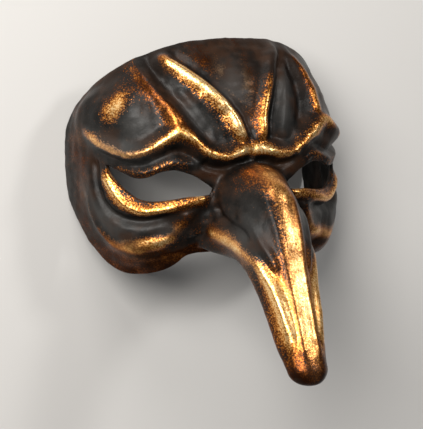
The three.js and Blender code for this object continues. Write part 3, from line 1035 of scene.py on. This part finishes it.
PATCHES = (
    # The left side of the forehead, its brow and its border
    Patch(Place.FACE, (-85, 28), (8, 8), 0, gold=0.58),
    Patch(Place.FACE, (-89, 20), (12, 7), 20, gold=0.52),
    # Dusting, and painted sheen as a pale smooth band along the left brow's crest.
    Patch(Place.FACE, (-86, 1), (26, 7), -8, gold=-0.12, dust_and_sheen=0.9),
    Patch(Place.FACE, (-41, 11), (8, 5), 0, gold=0.3),
    Patch(Place.FACE, (-63, 36), (16, 8), -40, gold=0.25, warm=0.9),
    Patch(Place.FACE, (-43, 19), (15, 7), -58, gold=0.38, warm=0.9),
    Patch(Place.FACE, (-124, 0), (9, 32), 0, gold=0.5, warm=0.9),
    Patch(Place.FACE, (-104, 42), (14, 12), 0, gold=0.2, warm=0.9),
    # Painted highlight: soft lighter lacquer on the left forehead's bulge.
    Patch(Place.FACE, (-71, 15), (12, 9), 0, gold=-0.4, dust_and_sheen=0.8),
    # Painted sheen along the soft ridge in the left valley.
    Patch(Place.FACE, (-36, 26), (22, 5), -48, gold=-0.6, dust_and_sheen=0.6),
    Patch(Place.FACE, (-62, 57), (12, 8), -30, gold=-0.4, warm=0.7),
    Patch(Place.FACE, (-20, 52), (14, 6), -30, gold=0.45, warm=0.9),
    Patch(Place.FACE, (-110, 14), (10, 4), 0, gold=-0.5),
    # The left cheek ridge, and then both cheeks
    Patch(Place.FACE, (-70, -56), (13, 3), 2, gold=0.55),
    Patch(Place.FACE_PAIR, (38, -38), (7, 9), 0, gold=-0.45),
    Patch(Place.FACE_PAIR, (46, -46), (14, 8), 0, gold=0.25, warm=0.6),
    Patch(Place.FACE_PAIR, (71, -60), (16, 6), 0, gold=0.26, warm=0.6),
    Patch(Place.FACE_PAIR, (62, -34), (36, 7), 0, warm=0.25),
    Patch(Place.FACE_PAIR, (106, -42), (10, 14), 0, gold=-0.4),
    # The middle and the right side of the forehead, down to the bridge
    # Brown haze, and a painted highlight as lighter lacquer in the middle of the V.
    Patch(Place.FACE, (-6, 40), (9, 13), 0, warm=0.6, dust_and_sheen=1.0),
    Patch(Place.FACE, (6, 42), (6, 16), -10, gold=0.5, warm=0.9),
    Patch(Place.FACE, (31, 56), (11, 20), -20, gold=-0.7, warm=0.9),
    Patch(Place.FACE, (53, 42), (8, 24), 0, warm=0.6),
    Patch(Place.FACE, (0, 65), (50, 6), 0, gold=0.3, warm=0.9),
    Patch(Place.FACE, (4, 14), (5, 12), 0, gold=0.25, warm=0.5),
    Patch(Place.FACE, (76, 5), (9, 7), 0, gold=-0.5, warm=0.5),
    # Painted sheen along the soft ridge in the right valley.
    Patch(Place.FACE, (27, 28), (5, 24), -14, gold=-0.7, dust_and_sheen=0.9),
    Patch(Place.FACE, (70, 30), (12, 26), 0, gold=0.3, warm=0.9),
    Patch(Place.FACE, (0, -1), (10, 4), 0, gold=0.6),
    # The temples, the cheeks' hollows and borders, and the eyes' inner corners
    Patch(Place.FACE_PAIR, (118, -28), (8, 24), 8, gold=0.42, warm=0.9),
    # Dusting and painted sheen on both cheek bands.
    Patch(Place.FACE_PAIR, (92, -45), (22, 7), 35, gold=-0.5, dust_and_sheen=0.9),
    Patch(Place.FACE_PAIR, (56, -48), (16, 4), 6, gold=-0.4, dust_and_sheen=0.6),
    Patch(Place.FACE_PAIR, (62, -62), (26, 5), 14, gold=0.3, warm=0.6),
    Patch(Place.FACE_PAIR, (24, -14), (16, 4), -10, gold=0.3, warm=0.9),
    # The nose's ridge
    Patch(Place.CROWN, (92, 0.17), (42, 0.1), 0, gold=0.7, warm=1.0),
    Patch(Place.CROWN, (90, 0.32), (28, 0.1), 0, gold=0.42, warm=0.4),
    Patch(Place.CROWN, (87, 0.66), (29, 0.38), 0, gold=0.76, dust_and_sheen=0.35),
    Patch(Place.CROWN, (62, 0.36), (16, 0.26), 0, gold=0.5, warm=0.9),
    # The nose's flanks and tip
    Patch(Place.NOSE_PAIR, (35, 0.9), (55, 0.26), 0, gold=0.52, warm=0.3),
    Patch(Place.NOSE_PAIR, (62, 0.78), (7, 0.2), 0, gold=-0.12, warm=0.3),
    Patch(Place.NOSE_PAIR, (42, 0.68), (34, 0.16), 0, gold=0.24, warm=0.35),
    Patch(Place.NOSE_PAIR, (-14, 0.32), (14, 0.2), 0, gold=0.2, dust_and_sheen=0.3),
    Patch(Place.NOSE_PAIR, (-20, 0.14), (18, 0.16), 0, gold=-0.05, warm=0.6),
    Patch(Place.NOSE_PAIR, (12, 0.42), (30, 0.16), 0, gold=-0.6, dust_and_sheen=0.5),
    Patch(Place.NOSE_PAIR, (-40, 0.7), (26, 0.6), 0, gold=0.6, warm=0.8),
    Patch(Place.NOSE_PAIR, (0, 1.05), (120, 0.09), 0, gold=0.2, warm=0.8),
)


@dataclass(frozen=True)
class Gilding:
    """Where the gold was rubbed on, where the lacquer is dusted and where it carries painted sheen.

    The nose's start is the way over which the face's patches give place to the nose's. A hollow as
    deep as the crease loses the most gold. The border is gilt from a turn some way below the temples.
    """

    skin: Skin
    patches: Sequence[Patch] = PATCHES
    nose_start: float = 6.0
    crease: float = 2.2
    crease_loss: float = 0.8
    border_width: float = 36.0
    border_fade: float = 14.0
    border_start: float = 0.22
    border_blend: float = 0.08
    border_gold: float = 0.58

    def weight(self, patch: Patch, u: Array, v: Array) -> Array:
        """Works out how much of a patch is felt.

        It is the exponential of minus the squared distances from its middle, along and across its
        slope, each as a share of its half size.

        Args:
            patch: the patch.
            u: first coordinates of the points, as the patch's place counts them.
            v: second coordinates.

        Returns:
            Weights from 0 to 1.
        """
        slope = math.radians(patch.slope)
        du = u - patch.middle[0]
        dv = v - patch.middle[1]
        along = (du * math.cos(slope) + dv * math.sin(slope)) / patch.size[0]
        across = (dv * math.cos(slope) - du * math.sin(slope)) / patch.size[1]
        return np.exp(-(along**2) - across**2)

    def paint(self, turn: Array, way: Array, gold: Array, sunk: Array) -> dict[str, Array]:
        """Works out the amounts of gold, warmth, and dusting and painted sheen on the lacquer.

        The folds' gold or the border's, whichever is more, is the start. Patches add to it or take
        from it, and hollows take it away.

        Args:
            turn: turns of the points.
            way: ways of the points.
            gold: the folds' own gold.
            sunk: the depth of the hollows.

        Returns:
            The amounts by name.
        """
        side = self.skin.rays.side(turn)
        place = self.skin.place(turn, np.maximum(way, 0.0))
        degrees = np.degrees(self.skin.rays.angle(turn))
        along = np.maximum(-way, 0.0) / self.skin.nose_run
        on_nose = smoothstep(-way / self.nose_start)
        from_rim = self.skin.rays.length(turn) - way
        lower = smoothstep((self.skin.rays.down(turn) / 2 - self.border_start) / self.border_blend)
        near_rim = smoothstep((self.border_width - from_rim) / self.border_fade)
        border = lower * near_rim * (1 - on_nose)
        amounts = {"gilt": np.maximum(gold, self.border_gold * border), "warm": border, "bare": 0.0 * gold}
        counted = {
            Place.FACE: (place[..., 0], place[..., 1]),
            Place.FACE_PAIR: (side * place[..., 0], place[..., 1]),
            Place.NOSE_PAIR: (degrees, along),
            Place.CROWN: (np.where(side > 0, degrees, 180.0 - degrees), along),
        }
        for patch in self.patches:
            share = 1 - on_nose if patch.place.on_face else on_nose
            weight = self.weight(patch, *counted[patch.place]) * share
            amounts["gilt"] += patch.gold * weight
            amounts["warm"] += patch.warm * weight
            # The last amount is dusting in some patches and painted sheen in others.
            amounts["bare"] += patch.dust_and_sheen * weight
        amounts["gilt"] -= smoothstep(sunk / self.crease) * self.crease_loss
        return {name: np.clip(amount, 0.0, 1.0) for name, amount in amounts.items()}


@dataclass(frozen=True)
class Unevenness:
    """The hand-made unevenness of the shell: many plane waves of different lengths, seeded.

    The height is the root of its mean square.
    """

    seed: int = 7
    waves: int = 36
    longest: float = 26.0
    shortest: float = 4.5
    height: float = 0.16

    def read(self, points: Array) -> Array:
        """Adds up the waves: sines of the place along each wave's way, stronger where it is longer.

        Args:
            points: points, one a row.

        Returns:
            Heights in millimetres.
        """
        rng = np.random.default_rng(self.seed)
        lengths = np.geomspace(self.longest, self.shortest, self.waves)
        ways = unit(rng.normal(size=(self.waves, 3))) * (2 * math.pi / lengths)[:, None]
        phases = rng.uniform(0, 2 * math.pi, self.waves)
        weights = np.sqrt(lengths / self.longest)
        weights *= self.height * math.sqrt(2) / np.linalg.norm(weights)
        return np.sin(points @ ways.T + phases) @ weights


@dataclass
class ShellBuilder:
    """Works out the shell's surface and its amounts of finish from the net."""

    skin: Skin = field(default_factory=Skin)
    wall: float = 3.0
    inner_ridges: float = 0.5
    softening: float = 3.5
    edge_steps: int = 5
    slope_reach: float = 0.5
    nose_calm: float = 0.55

    def __post_init__(self) -> None:
        """Sets out the net, lays it as a surface and rounds its edges over."""
        self.relief = Relief(self.skin)
        self.eye = EyeHole(self.skin)
        self.shell = ShellNet(self.skin, self.eye)
        self.net = self.shell.net
        outer_rim, outer_eyes = self.shell.outside()
        inner_rim, inner_eyes = self.shell.inside()
        self.turn = np.concatenate(self.net.turns)
        self.way = np.concatenate(self.net.ways)
        self.layer = np.concatenate(self.net.layers)
        self.points, self.amounts = self.surface()
        self.round_rim(outer_rim, inner_rim)
        for outer, inner in zip(outer_eyes, inner_eyes):
            self.round_eye(outer, inner)
        self.faces = np.concatenate(self.net.faces)

    def surface(self) -> tuple[Array, dict[str, Array]]:
        """Lays both skins along the outward direction of the plain skin.

        The outside takes ridges and hollows in full. The inside lies a wall further in, with a share
        of the ridges and wider hollows. The unevenness is calmer on the nose.

        Returns:
            Points, and the amounts of finish by name.
        """
        plain = self.skin.point(self.turn, self.way)
        outward = self.skin.outward(self.turn, self.way)
        fade = self.relief.fade(plain, self.turn, self.way)
        inside = self.layer == Layer.INSIDE.value
        height = np.zeros(len(plain))
        gold = np.zeros(len(plain))
        hollow = np.zeros(len(plain))
        layers = ((~inside, 0.0, 1.0), (inside, self.softening, self.inner_ridges))
        for chosen, softening, ridges in layers:
            raised, sunk, gold[chosen] = self.relief.read(plain[chosen], softening)
            height[chosen] = (ridges * raised - sunk) * fade[chosen]
            hollow[chosen] = sunk
        calm = 1 - self.nose_calm * smoothstep(-self.way / self.skin.cap_run)
        height += Unevenness().read(plain) * calm - np.where(inside, self.wall, 0.0)
        amounts = Gilding(self.skin).paint(self.turn, self.way, gold, hollow)
        amounts["lined"] = inside.astype(float)
        return plain + outward * height[:, None], amounts

    def round_rim(self, outer: Array, inner: Array) -> None:
        """Rounds the rim over from the outside to the inside.

        The round stands out along the skin's slope. The inside has half the vertices, so every other
        point across is half way between two of them.

        Args:
            outer: vertices of the outside's rim.
            inner: vertices of the inside's rim.
        """
        turn = self.turn[outer]
        way = self.way[outer]
        out = self.skin.point(turn, way + self.slope_reach) - self.skin.point(turn, way - self.slope_reach)
        near = self.points[inner]
        between = (near + np.roll(near, -1, 0)) / 2
        opposite = np.stack([near, between], 1).reshape(-1, 3)
        rings = self.round_over(outer, opposite, unit(out) * self.eye.rim_edge)
        self.net.band(np.vstack([outer, rings]))
        self.net.stitch(rings[-1], inner, False)

    def round_eye(self, outer: Array, inner: Array) -> None:
        """Rounds an eye hole's edge over from the outside to the inside.

        The round stands into the hole, across both the wall and the edge.

        Args:
            outer: vertices of the outside's loop.
            inner: vertices of the inside's loop.
        """
        near = self.points[outer]
        thick = near - self.points[inner]
        along = np.roll(near, -1, 0) - np.roll(near, 1, 0)
        out = unit(np.cross(thick, along))
        toward = np.sign(((near.mean(0) - near) * out).sum())
        rings = self.round_over(outer, self.points[inner], toward * out * self.eye.edge)
        self.net.band(np.vstack([outer, rings, inner]))

    def round_over(self, outer: Array, opposite: Array, out: Array) -> Array:
        """Adds the rings of half an ellipse from an outer loop to points opposite it.

        The middle of both, half the step between them by the angle's cosine and the round by its sine
        add up to a ring. The lining grows from ring to ring.

        Args:
            outer: vertices of the loop.
            opposite: the inner point across from each.
            out: how far the round stands out, as vectors.

        Returns:
            The rings' vertices.
        """
        start = self.points[outer]
        angle = np.linspace(0, math.pi, self.edge_steps + 2)[1:-1, None, None]
        points = (start + opposite) / 2 + (start - opposite) / 2 * np.cos(angle) + out * np.sin(angle)
        ids = len(self.points) + np.arange(self.edge_steps * len(outer)).reshape(self.edge_steps, -1)
        self.points = np.vstack([self.points, points.reshape(-1, 3)])
        lined = np.repeat(np.linspace(0, 1, self.edge_steps), len(outer))
        for name, amount in self.amounts.items():
            added = lined if name == "lined" else np.tile(amount[outer], self.edge_steps)
            self.amounts[name] = np.concatenate([amount, added])
        return ids


@dataclass(frozen=True)
class Noise:
    """A noise, by the size of its lumps in millimetres and the number of its finer layers."""

    size: float
    layers: float = 3.0


class Graph:
    """The nodes of one material or world."""

    def __init__(self, tree: bpy.types.NodeTree) -> None:
        """Starts from an empty tree."""
        self.tree = tree
        tree.nodes.clear()

    def node(self, kind: str, settings: dict | None = None, **values: object) -> bpy.types.Node:
        """Makes a node.

        Args:
            kind: the node's type.
            settings: its properties, set first, and the stops of a ramp under that name.
            values: its inputs by name with _ for a space, each a value, a Value or a socket.

        Returns:
            The node.
        """
        made = self.tree.nodes.new(kind)
        for name, setting in (settings or {}).items():
            if name == "stops":
                self.set_stops(made.color_ramp.elements, setting)
            else:
                setattr(made, name, setting)
        for name, value in values.items():
            self.feed(made.inputs[name.replace("_", " ")], value)
        return made

    def set_stops(self, elements: bpy.types.ColorRampElements, stops: Stops) -> None:
        """Gives a ramp its stops.

        Args:
            elements: the ramp's own stops, two at first.
            stops: the place and the colour of each.
        """
        for place, _ in stops[len(elements):]:
            elements.new(place)
        for element, (place, colour) in zip(elements, stops):
            element.position = place
            element.color = colour

    def feed(self, socket: bpy.types.NodeSocket, value: object) -> None:
        """Links a Value or a socket into an input, or sets a plain value on it.

        Args:
            socket: the input.
            value: what it gets.
        """
        source = value.socket if isinstance(value, Value) else value
        if isinstance(source, bpy.types.NodeSocket):
            self.tree.links.new(source, socket)
        else:
            socket.default_value = source

    def value(self, socket: bpy.types.NodeSocket) -> "Value":
        """Wraps a number's socket for sums."""
        return Value(self, socket)

    def attribute(self, name: str) -> "Value":
        """The number that the mesh carries under a name."""
        return self.value(self.node("ShaderNodeAttribute", {"attribute_name": name}).outputs["Fac"])

    def noise(self, place: bpy.types.NodeSocket, kind: Noise) -> "Value":
        """Noise between 0 and 1 at places in millimetres."""
        made = self.node("ShaderNodeTexNoise", Vector=place, Scale=1 / kind.size, Detail=kind.layers)
        return self.value(made.outputs["Fac"])

    def mix(self, share: "Value", first: object, second: object) -> bpy.types.NodeSocket:
        """Mixes two colours.

        Args:
            share: how much of the second there is.
            first: a colour or its socket.
            second: a colour or its socket.

        Returns:
            The mixed colour.
        """
        made = self.node("ShaderNodeMix", {"data_type": "RGBA"})
        factor = next(socket for socket in made.inputs if socket.enabled and socket.type == "VALUE")
        colours = [socket for socket in made.inputs if socket.type == "RGBA"]
        for socket, value in zip((factor, *colours), (share, first, second)):
            self.feed(socket, value)
        return next(socket for socket in made.outputs if socket.type == "RGBA")

    def ramp(self, share: "Value", stops: Stops) -> bpy.types.NodeSocket:
        """Reads a colour off stops."""
        return self.node("ShaderNodeValToRGB", {"stops": stops}, Fac=share).outputs["Color"]


class Value:
    """A number in a node tree that sums can be written with."""

    def __init__(self, graph: Graph, socket: bpy.types.NodeSocket) -> None:
        """Wraps a socket."""
        self.graph = graph
        self.socket = socket

    def math(self, operation: str, *others: object, clamp: bool = False) -> "Value":
        """Makes a Math node with this number first.

        Args:
            operation: what it does.
            others: its other numbers.
            clamp: whether the result is kept between 0 and 1.

        Returns:
            The result.
        """
        made = self.graph.node("ShaderNodeMath", {"operation": operation, "use_clamp": clamp})
        for socket, value in zip(made.inputs, (self, *others)):
            self.graph.feed(socket, value)
        return Value(self.graph, made.outputs[0])

    def __add__(self, other: object) -> "Value":
        """Adds."""
        return self.math("ADD", other)

    def __radd__(self, other: float) -> "Value":
        """Adds to a plain number."""
        return self.math("ADD", other)

    def __sub__(self, other: object) -> "Value":
        """Takes away."""
        return self.math("SUBTRACT", other)

    def __rsub__(self, other: float) -> "Value":
        """Is taken away from a plain number."""
        return self.math("MULTIPLY_ADD", -1.0, other)

    def __mul__(self, other: object) -> "Value":
        """Multiplies."""
        return self.math("MULTIPLY", other)

    def __rmul__(self, other: float) -> "Value":
        """Multiplies a plain number."""
        return self.math("MULTIPLY", other)

    def between(self, low: float, high: float) -> "Value":
        """Eases from 0 to 1 between two numbers, as smoothstep does.

        Args:
            low: where it starts.
            high: where it ends.

        Returns:
            The eased number.
        """
        easing = {"interpolation_type": "SMOOTHSTEP"}
        made = self.graph.node("ShaderNodeMapRange", easing, Value=self, From_Min=low, From_Max=high)
        return Value(self.graph, made.outputs["Result"])

    def clamped(self) -> "Value":
        """Keeps it between 0 and 1."""
        return self.math("ADD", 0.0, clamp=True)


@dataclass(frozen=True)
class GildedFinish:
    """Satin black lacquer rubbed with gold, copper where the gold is thin, over paper pulp.

    A share says how much one thing sways another, and each pair of numbers is what a measure has on
    the lacquer and on the gold, or where an easing starts and ends.
    """

    name: str = "gilded_black"
    black: Colour = (0.004, 0.0037, 0.0033, 1)
    # Graphite is the lacquer lifted by dusting, and by painted sheen in some patches.
    graphite: Colour = (0.055, 0.0535, 0.051, 1)
    brown: Colour = (0.03, 0.013, 0.006, 1)
    # Tan is mixed into the gold by the same amount, in part as painted sheen of lacquer over thin gold.
    tan: Colour = (0.6, 0.42, 0.26, 1)
    stops: Stops = (
        (0.05, (0.02, 0.007, 0.004, 1)),
        (0.25, (0.06, 0.018, 0.006, 1)),
        (0.42, (0.17, 0.05, 0.01, 1)),
        (0.58, (0.4, 0.14, 0.025, 1)),
        (0.76, (0.78, 0.38, 0.1, 1)),
        (1.0, (1.0, 0.7, 0.34, 1)),
    )
    metal: tuple[float, float] = (0.0, 0.9)
    roughness: tuple[float, float] = (0.38, 0.32)
    gloss: float = 0.16
    flakes: Noise = Noise(1.0, 4.0)
    patches: Noise = Noise(7.0, 2.0)
    stains: Noise = Noise(14.0)
    grain: Noise = Noise(0.35)
    fibres: Noise = Noise(1.6)
    flake_share: float = 1.8
    patch_share: float = 0.5
    covering: tuple[float, float] = (0.26, 0.54)
    warm_share: float = 0.34
    tan_share: float = 0.5
    dust_and_sheen_share: float = 0.8
    patch_dust: float = 0.5
    flake_dust: float = 0.25
    staining: tuple[float, float] = (0.45, 0.7)
    stain_share: float = 0.6
    warm_stain: float = 0.45
    flake_roughness: float = 0.15
    grain_height: float = 0.3
    gold_height: float = 0.12
    relief: float = 0.0002
    relief_share: float = 0.55

    def build(self) -> bpy.types.Material:
        """Makes the material.

        The gold's amount plus noise at flake and patch size is the level, which sets how far the
        finish has gone from lacquer through copper to pale gold. Warmth holds it back from the pale
        end. Dusting and painted sheen calm the flakes and mix the gold toward tan, and that tan is in
        part painted sheen of lacquer over thin gold.

        Returns:
            The material.
        """
        material = bpy.data.materials.new(self.name)
        material.use_nodes = True
        graph = Graph(material.node_tree)
        place = self.millimetres(graph)
        gilt, warm, lined, bare = (graph.attribute(name) for name in ("gilt", "warm", "lined", "bare"))
        flake = graph.noise(place, self.flakes) - 0.5
        patch = graph.noise(place, self.patches) - 0.5
        level = gilt + flake * (self.flake_share - warm - bare) + patch * self.patch_share
        cover = level.between(*self.covering) * (1.0 - lined)
        shade = (level - warm * self.warm_share).clamped()
        # The gold mixes toward tan by dusting and, in part, by painted sheen over thin gold.
        gold = graph.mix(bare * self.tan_share, graph.ramp(shade, self.stops), self.tan)
        dark = self.lacquer(graph, warm, bare, flake, patch, graph.noise(place, self.stains))
        rough = cover * (self.roughness[1] - self.roughness[0]) + self.roughness[0]
        shader = graph.node(
            "ShaderNodeBsdfPrincipled",
            Base_Color=graph.mix(cover, dark, gold),
            Metallic=cover * (self.metal[1] - self.metal[0]) + self.metal[0],
            Roughness=rough + flake * self.flake_roughness,
            Specular_IOR_Level=self.gloss,
            Normal=self.bump(graph, place, cover),
        )
        graph.node("ShaderNodeOutputMaterial", Surface=shader.outputs["BSDF"])
        return material

    def lacquer(
        self, graph: Graph, warm: Value, bare: Value, flake: Value, patch: Value, stain: Value
    ) -> bpy.types.NodeSocket:
        """Mixes the lacquer's colour: black, lifted to graphite by dusting and by painted sheen, and
        stained brown.

        Args:
            graph: the material's nodes.
            warm: the warmth, which adds to the stain.
            bare: the dusting and the painted sheen.
            flake: noise at flake size, around 0.
            patch: noise at patch size, around 0.
            stain: noise at the size of stains.

        Returns:
            The colour.
        """
        # Dusting and painted sheen lift the lacquer toward graphite, and the noises add random dusting.
        dust_and_sheen_level = (bare * self.dust_and_sheen_share + patch * self.patch_dust + flake * self.flake_dust).clamped()
        stained = (stain.between(*self.staining) * self.stain_share + warm * self.warm_stain).clamped()
        return graph.mix(stained, graph.mix(dust_and_sheen_level, self.black, self.graphite), self.brown)

    def millimetres(self, graph: Graph) -> bpy.types.NodeSocket:
        """The place on the object, in millimetres."""
        spot = graph.node("ShaderNodeTexCoord").outputs["Object"]
        return graph.node("ShaderNodeMapping", Vector=spot, Scale=(1 / MM,) * 3).outputs["Vector"]

    def bump(self, graph: Graph, place: bpy.types.NodeSocket, cover: Value) -> bpy.types.NodeSocket:
        """Bends the normal by the fibres and the grain of paper pulp and by the edges of the gold.

        Args:
            graph: the material's nodes.
            place: the place in millimetres.
            cover: how far the gold covers the lacquer.

        Returns:
            The bent normal.
        """
        pulp = graph.noise(place, self.grain) * self.grain_height + graph.noise(place, self.fibres)
        height = pulp + cover * self.gold_height
        made = graph.node("ShaderNodeBump", Strength=self.relief_share, Distance=self.relief, Height=height)
        return made.outputs["Normal"]


@dataclass
class MaskShell:
    """The one shell, from its surface to its place in the frame."""

    finish: GildedFinish = field(default_factory=GildedFinish)
    name: str = "mask_shell_detailed"

    def build(self) -> bpy.types.Object:
        """Makes the mesh in the frame, within the CAD's box, and dresses it.

        Returns:
            The piece, which rides on the root and carries its amounts of finish.
        """
        surface = ShellBuilder()
        points = (surface.points + np.array([0.0, BRIDGE_Y, 0.0])) * MM
        points = np.clip(points, *np.array(CAD_BOX, float)).astype(np.float32)
        mesh = bpy.data.meshes.new(self.name)
        mesh.vertices.add(len(points))
        mesh.vertices.foreach_set("co", points.ravel())
        mesh.loops.add(surface.faces.size)
        mesh.loops.foreach_set("vertex_index", surface.faces.ravel().astype(np.int32))
        mesh.polygons.add(len(surface.faces))
        mesh.polygons.foreach_set("loop_start", np.arange(0, surface.faces.size, 3, dtype=np.int32))
        mesh.update(calc_edges=True)
        mesh.polygons.foreach_set("use_smooth", np.ones(len(surface.faces), bool))
        for name, amount in surface.amounts.items():
            mesh.attributes.new(name, "FLOAT", "POINT").data.foreach_set("value", amount.astype(np.float32))
        mesh.materials.append(self.finish.build())
        piece = bpy.data.objects.new(self.name, mesh)
        bpy.context.collection.objects.link(piece)
        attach(piece, "root")
        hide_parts("mask_shell")
        return piece


@dataclass(frozen=True)
class Floor:
    """The plain pale floor under the mask."""

    half: float = 3.0
    colour: Colour = (0.62, 0.61, 0.595, 1)
    roughness: float = 0.75

    def build(self) -> bpy.types.Object:
        """Makes the floor as one square.

        Returns:
            The floor, which is part of the stage.
        """
        h = self.half
        mesh = bpy.data.meshes.new("floor")
        mesh.from_pydata([(-h, -h, 0), (h, -h, 0), (h, h, 0), (-h, h, 0)], [], [(0, 1, 2, 3)])
        material = bpy.data.materials.new("floor_paper")
        material.use_nodes = True
        graph = Graph(material.node_tree)
        shader = graph.node("ShaderNodeBsdfPrincipled", Base_Color=self.colour, Roughness=self.roughness)
        graph.node("ShaderNodeOutputMaterial", Surface=shader.outputs["BSDF"])
        mesh.materials.append(material)
        floor = bpy.data.objects.new("floor", mesh)
        bpy.context.collection.objects.link(floor)
        return floor


@dataclass(frozen=True)
class Viewpoint:
    """The photo's camera: where it looks from, and where the bridge falls in the picture.

    Toward points from the mask to the camera, and the spot is the bridge's pixel in a picture of the
    size, counted from its upper left corner.
    """

    toward: Spot = (-0.466, 0.122, 0.876)
    right: Spot = (0.883, 0.0, 0.469)
    up: Spot = (0.057, 0.992, -0.108)
    target: Spot = (0.0, BRIDGE_Y * MM, 0.088)
    distance: float = 1.1
    lens: float = 150.5
    sensor: float = 36.0
    near: float = 0.05
    size: tuple[int, int] = (423, 429)
    spot: tuple[float, float] = (252.0, 148.0)

    def build(self) -> bpy.types.Object:
        """Makes the camera, turned so that its target falls on its spot in the picture.

        Returns:
            The camera.
        """
        focal = self.lens / self.sensor * max(self.size)
        toward, right, up = (Vector(v).normalized() for v in (self.toward, self.right, self.up))
        target = Vector(self.target)
        aside = (self.spot[0] - self.size[0] / 2) / focal
        down = (self.spot[1] - self.size[1] / 2) / focal
        place = target + toward * self.distance
        ray = (target - place).normalized()
        look = (ray - right * aside + up * down).normalized()
        right = look.cross(up).normalized()
        up = right.cross(look)
        camera = bpy.data.cameras.new("photo_view")
        camera.lens = self.lens
        camera.sensor_width = self.sensor
        camera.clip_start = self.near
        view = bpy.data.objects.new("photo_view", camera)
        view.matrix_world = Matrix.Translation(place) @ Matrix((right, up, -look)).transposed().to_4x4()
        bpy.context.collection.objects.link(view)
        bpy.context.scene.camera = view
        return view


@dataclass(frozen=True)
class Lamp:
    """A soft square lamp that looks at the mask."""

    name: str
    place: Spot
    width: float
    watts: float
    colour: Spot = (1, 1, 1)

    def build(self, target: Vector) -> None:
        """Makes the lamp.

        Args:
            target: where it looks.
        """
        light = bpy.data.lights.new(self.name, "AREA")
        light.size = self.width
        light.energy = self.watts
        light.color = self.colour
        lamp = bpy.data.objects.new(self.name, light)
        lamp.location = self.place
        lamp.rotation_euler = (target - Vector(self.place)).to_track_quat("-Z", "Y").to_euler()
        bpy.context.collection.objects.link(lamp)


@dataclass(frozen=True)
class Studio:
    """Soft studio light: an even world and lamps above."""

    world: Colour = (0.8, 0.82, 0.85, 1)
    strength: float = 0.1
    target: Spot = (0.0, 0.0, 0.06)
    lamps: Sequence[Lamp] = (
        Lamp("key", (-0.8, 0.5, 0.95), 0.6, 20.0, (1, 0.97, 0.93)),
        Lamp("upper_left", (-0.45, 1.1, 0.55), 0.5, 7.0, (1, 0.97, 0.93)),
        Lamp("upper_right", (0.6, 0.64, 0.98), 0.2, 4.5, (1, 0.98, 0.95)),
    )

    def build(self) -> None:
        """Lights the world and hangs the lamps."""
        world = bpy.data.worlds.new("studio")
        world.use_nodes = True
        graph = Graph(world.node_tree)
        even = graph.node("ShaderNodeBackground", Color=self.world, Strength=self.strength)
        graph.node("ShaderNodeOutputWorld", Surface=even.outputs["Background"])
        bpy.context.scene.world = world
        for lamp in self.lamps:
            lamp.build(Vector(self.target))
        bpy.context.scene.view_settings.view_transform = "Standard"


def main() -> None:
    """Builds the mask and its floor and reports each, and adds light and camera."""
    logging.basicConfig(level=logging.INFO, format="%(message)s")
    for builder in (MaskShell(), Floor()):
        piece = builder.build()
        log.info("%s: %d faces", piece.name, len(piece.data.polygons))
    Studio().build()
    Viewpoint().build()


if __name__ == "__main__":
    main()
